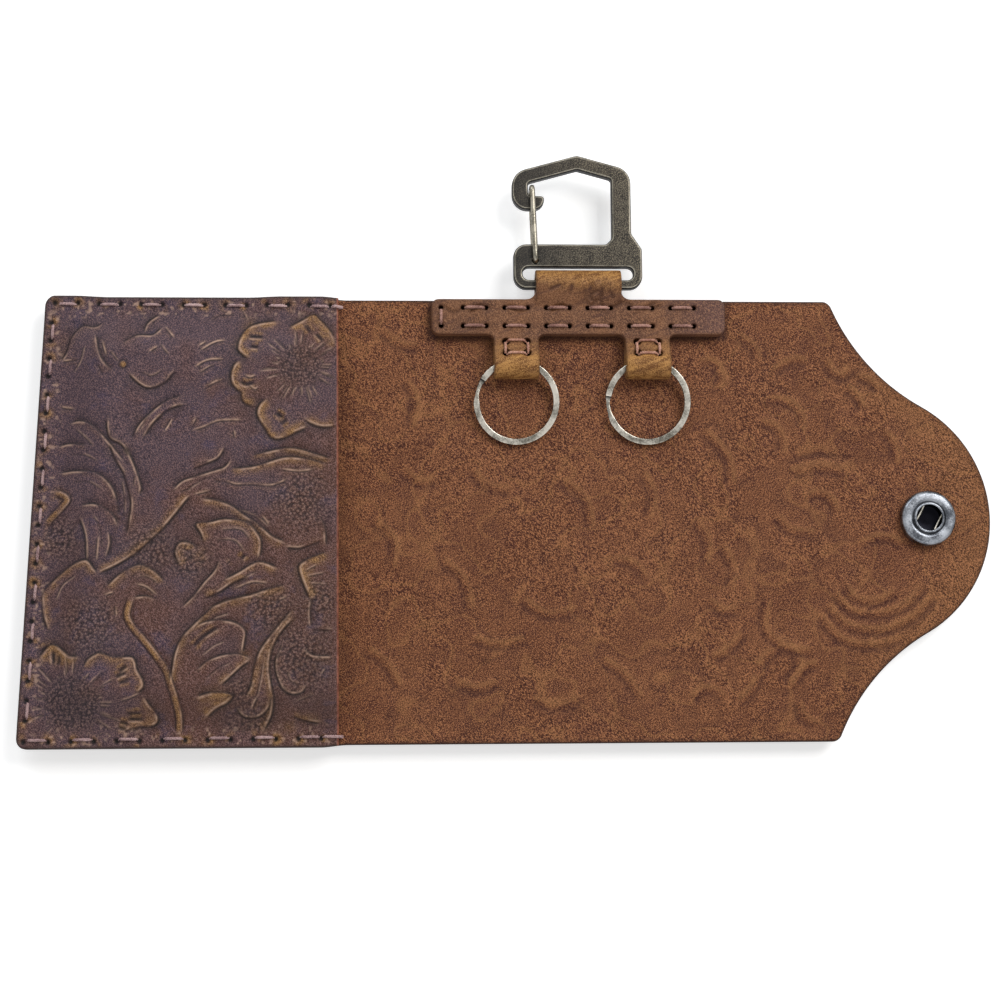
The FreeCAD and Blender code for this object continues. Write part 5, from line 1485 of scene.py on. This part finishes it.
def build_ring(side):
    """Two turns of flat wire, with a slit between them and a step where one rises to the other."""
    turn = np.linspace(0, 2 * FULL_TURN - RING_RAMP, RING_STEPS)
    level = (RING_THICK + RING_SLIT) * (smoothstep(FULL_TURN - RING_RAMP, FULL_TURN, turn) - 0.5)
    section = np.linspace(0, FULL_TURN, RING_SIDES, endpoint=False)
    wide, thick = squared(np.cos(section)) * RING_WIDE / 2, squared(np.sin(section)) * RING_THICK / 2
    ramp = (turn - FULL_TURN + RING_RAMP) / RING_RAMP
    narrow = 1 - RING_NARROW * smoothstep(0, 0.2, ramp) * smoothstep(1, 0.6, ramp)
    radius = RING_OUTER - RING_WIDE / 2 + wide[None, :] * narrow[:, None]
    angle = (math.radians(RING_ENDS[side]) + turn)[:, None]
    flat_x, flat_y = radius * np.cos(angle), radius * np.sin(angle)
    height = level[:, None] + thick[None, :]
    y = RING_CENTRE[0] + flat_y * math.cos(RING_TILT) - height * math.sin(RING_TILT)
    z = RING_CENTRE[1] + flat_y * math.sin(RING_TILT) + height * math.cos(RING_TILT)
    points = np.stack([TAB_PLACES[side] + flat_x, y, z], axis=-1).reshape(-1, 3)
    first = np.arange(RING_SIDES)
    last = first + len(points) - RING_SIDES
    faces = np.vstack([tube_faces(RING_STEPS, RING_SIDES), end_faces(first[::-1]), end_faces(last)])
    # Painted shade: a little in the middle of the flat faces, much in the slit between the turns, and most
    # at the open end
    face = 0.25 * smoothstep(0.1, 0.24, np.abs(thick)) * smoothstep(0.62, 0.4, np.abs(wide))
    face = np.maximum(face, 0.8 * smoothstep(0.2, 0.05, np.abs(thick)))
    cut = RING_CUT * bell(ramp, 0, RING_CUT_WIDE)
    deep = np.maximum(face[None, :], cut[:, None]).ravel()
    piece = make_piece(f"ring_{side}", points, faces, RING_STEEL, deep=deep)
    settle(piece, f"ring_{side}", f"split_ring_{side}")


# Snap

# Sides of a turned piece
LATHE_SIDES = 144
# Turned profiles as (radius, height), with the strength of painted shade at each point
SOCKET = [
    (5.6, 2.0), (6.02, 2.06), (6.1, 2.3), (6.1, 3.95), (6.06, 4.12), (5.78, 4.46), (5.5, 4.66), (5.3, 4.7),
    (4.4, 4.7), (3.82, 4.7), (3.72, 4.58), (3.56, 4.58), (3.44, 4.72), (3.4, 5.02), (3.3, 5.16), (3.1, 5.2),
    (2.94, 5.14), (2.86, 4.95), (2.85, 4.3), (2.85, 2.6), (2.6, 2.5), (0.9, 2.5), (0.02, 2.5),
]
SOCKET_SHADE = [
    0.7, 0.6, 0.35, 0.15, 0.1, 0.05, 0.1, 0, 0, 0.2, 0.9, 0.9, 0.4, 0, 0, 0, 0, 0.5, 0.95, 1, 1, 1, 1,
]
# Milling of the socket's rim
SOCKET_RIPPLE = [0, 0, 0.03, 0.04, 0.07, 0.07, 0.03] + [0] * 16
CAP = [
    (0.02, -1.5), (1.8, -1.47), (3.2, -1.36), (4.4, -1.16), (5.4, -0.86), (6.0, -0.58), (6.1, -0.4),
    (6.1, -0.02), (5.7, 0.0),
]
CAP_SHADE = [0, 0, 0, 0, 0, 0.1, 0.2, 0.5, 0.6]
STUD = [
    (0.02, -3.25), (1.0, -3.25), (1.75, -3.2), (2.2, -3.0), (2.35, -2.7), (2.33, -2.45), (2.1, -2.22),
    (1.8, -2.04), (1.8, -1.4), (1.86, -1.15), (2.2, -0.95), (3.0, -0.9), (4.1, -0.88), (4.6, -0.74),
    (4.8, -0.5), (4.8, -0.04), (4.5, 0.0),
]
STUD_SHADE = [0, 0, 0, 0, 0, 0, 0.2, 0.5, 0.6, 0.5, 0.3, 0, 0, 0, 0, 0.3, 0.5]
# The spring's two wires: slant, distance from the middle, bow, height, radius, half length and points
SPRING_TURN = math.radians(-28)
SPRING_OFF, SPRING_BOW, SPRING_Z = 2.3, 0.08, 4.4
SPRING_R, SPRING_REACH, SPRING_POINTS = 0.25, 1.85, 24


def lathe(name, x, profile, deep, body, node, ripple=0.0):
    """A turned piece of the snap about a line through (x, 0)."""
    radius, height = np.array(profile).T[:, :, None]
    turn = np.linspace(0, FULL_TURN, LATHE_SIDES, endpoint=False)
    mill = np.where(np.arange(LATHE_SIDES) % 2, 1, -1)
    radius = radius + np.reshape(ripple, (-1, 1)) * mill
    points = np.stack([x + radius * np.cos(turn), radius * np.sin(turn), height + 0 * turn], axis=-1)
    piece = make_piece(name, points.reshape(-1, 3), tube_faces(len(profile), LATHE_SIDES), SNAP_NICKEL,
                       deep=np.repeat(np.array(deep, float), LATHE_SIDES))
    settle(piece, body, node)


def build_snap():
    lathe("snap_ring", SNAP_X, SOCKET, SOCKET_SHADE, "flap", "snap_socket", SOCKET_RIPPLE)
    lathe("snap_dome", SNAP_X, CAP, CAP_SHADE, "flap", "snap_cap")
    lathe("snap_stud_turned", STUD_X, STUD, STUD_SHADE, "left_cover", "snap_stud")


def build_spring():
    """The two wires of the snap's spring, set slantwise in the bore and bowed towards its middle."""
    t = np.linspace(-1, 1, SPRING_POINTS)
    turn = np.array(Matrix.Rotation(SPRING_TURN, 3, "Z"))
    tubes = []
    for side in (-1, 1):
        off = side * (SPRING_OFF - SPRING_BOW * (1 - t ** 2))
        path = np.stack([off, SPRING_REACH * t, SPRING_Z + 0 * t], axis=-1) @ turn.T + [SNAP_X, 0, 0]
        tubes.append(strand_tube(path, ABOVE, SPRING_R))
    points, faces = join(tubes)
    piece = make_piece("spring_wires", points, faces, RING_STEEL, deep=np.zeros(len(points)))
    settle(piece, "flap", "snap_spring")


def dress_kept_nodes():
    """Materials of the two nodes that keep their CAD mesh."""
    for node, material in (("hook_gate", WIRE_STEEL), ("snap_post", POST_NICKEL)):
        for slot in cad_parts[node].material_slots:
            slot.material = material


# Floor, light and camera, with the lengths of floor and lamps in metres

FLOOR_Z = -3.3 * MM
FLOOR_REACH = 3.0
FLOOR_GREY, FLOOR_ROUGH, FLOOR_GLOW = 0.86, 0.9, 0.5
# The white world as it lights the case and as it is seen
WORLD_LIGHT, WORLD_SEEN = 0.3, 1.0
# From what distance the camera sees
NEAREST_SEEN = 0.01
# Lamps: place, aim, size, watts and colour. Their upper side is turned towards LAMP_UP.
LAMP_UP = (0, 1, 0.01)
LAMPS = {
    "main_lamp": ((0.45, 0.42, 0.75), (0, 0, 0), (0.5, 0.4), 4.7, (1.0, 0.985, 0.96)),
    "cool_fill": ((-0.35, 0.7, 0.55), (-0.05, 0, 0), (0.7, 0.3), 2.6, (0.9, 0.95, 1.0)),
    "front_fill": ((-0.1, -0.7, 0.6), (0, 0, 0), (0.8, 0.3), 1.3, (1.0, 0.98, 0.95)),
}


def floor_material():
    """White floor: it shows the shadow, and is lifted to white for the eye and in reflections."""
    n = material_nodes("floor")
    glow = n.make("Emission", 0, {"Strength": n.math("MULTIPLY", n.seen(), FLOOR_GLOW)})
    both = n.make("AddShader", 0, {0: n.shader.outputs[0], 1: glow})
    n.put(n.tree.nodes["Material Output"].inputs["Surface"], both)
    n.shader.inputs["Base Color"].default_value = (FLOOR_GREY, FLOOR_GREY, FLOOR_GREY, 1)
    n.shader.inputs["Roughness"].default_value = FLOOR_ROUGH
    n.shader.inputs["Specular IOR Level"].default_value = 0.0
    return n.owner


def build_floor():
    mesh = bpy.data.meshes.new("floor")
    corners = [(x * FLOOR_REACH, y * FLOOR_REACH, FLOOR_Z) for x, y in ((-1, -1), (1, -1), (1, 1), (-1, 1))]
    mesh.from_pydata(corners, [], [(0, 1, 2, 3)])
    mesh.materials.append(floor_material())
    new_object("floor", mesh)


def aimed(right, up, back, place):
    """Matrix of a lamp or camera from its axes and its place."""
    turn = Matrix(np.column_stack([right, up, back]).tolist()).to_4x4()
    return Matrix.Translation(place.tolist()) @ turn


def build_light():
    for name, (place, aim, size, watts, colour) in LAMPS.items():
        data = bpy.data.lights.new(name, "AREA")
        data.shape = "RECTANGLE"
        data.size, data.size_y = size
        data.energy = watts
        data.color = colour
        place = np.array(place)
        back = unit(place - aim)
        right = unit(np.cross(LAMP_UP, back))
        new_object(name, data).matrix_world = aimed(right, np.cross(back, right), back, place)
    world = bpy.data.worlds.new("studio")
    bpy.context.scene.world = world
    n = Nodes(world)
    background = n.tree.nodes["Background"]
    background.inputs["Color"].default_value = (1, 1, 1, 1)
    n.put(background.inputs["Strength"], n.span(n.seen(), 0.0, 1.0, WORLD_LIGHT, WORLD_SEEN))


def build_camera():
    data = bpy.data.cameras.new("camera")
    data.sensor_width = SENSOR
    data.lens = FOCAL_PX / PHOTO * SENSOR
    data.clip_start = NEAREST_SEEN
    camera = new_object("camera", data)
    camera.matrix_world = aimed(RIGHT, UP, BACK, EYE * MM)
    bpy.context.scene.camera = camera


build_sheet()
build_pocket()
build_pocket_threads()
build_holder_threads()
build_tab_threads()
build_hook()
build_holder()
build_ring("left")
build_ring("right")
build_snap()
build_spring()
dress_kept_nodes()
build_floor()
build_light()
build_camera()
bpy.context.scene.view_settings.view_transform = "Standard"
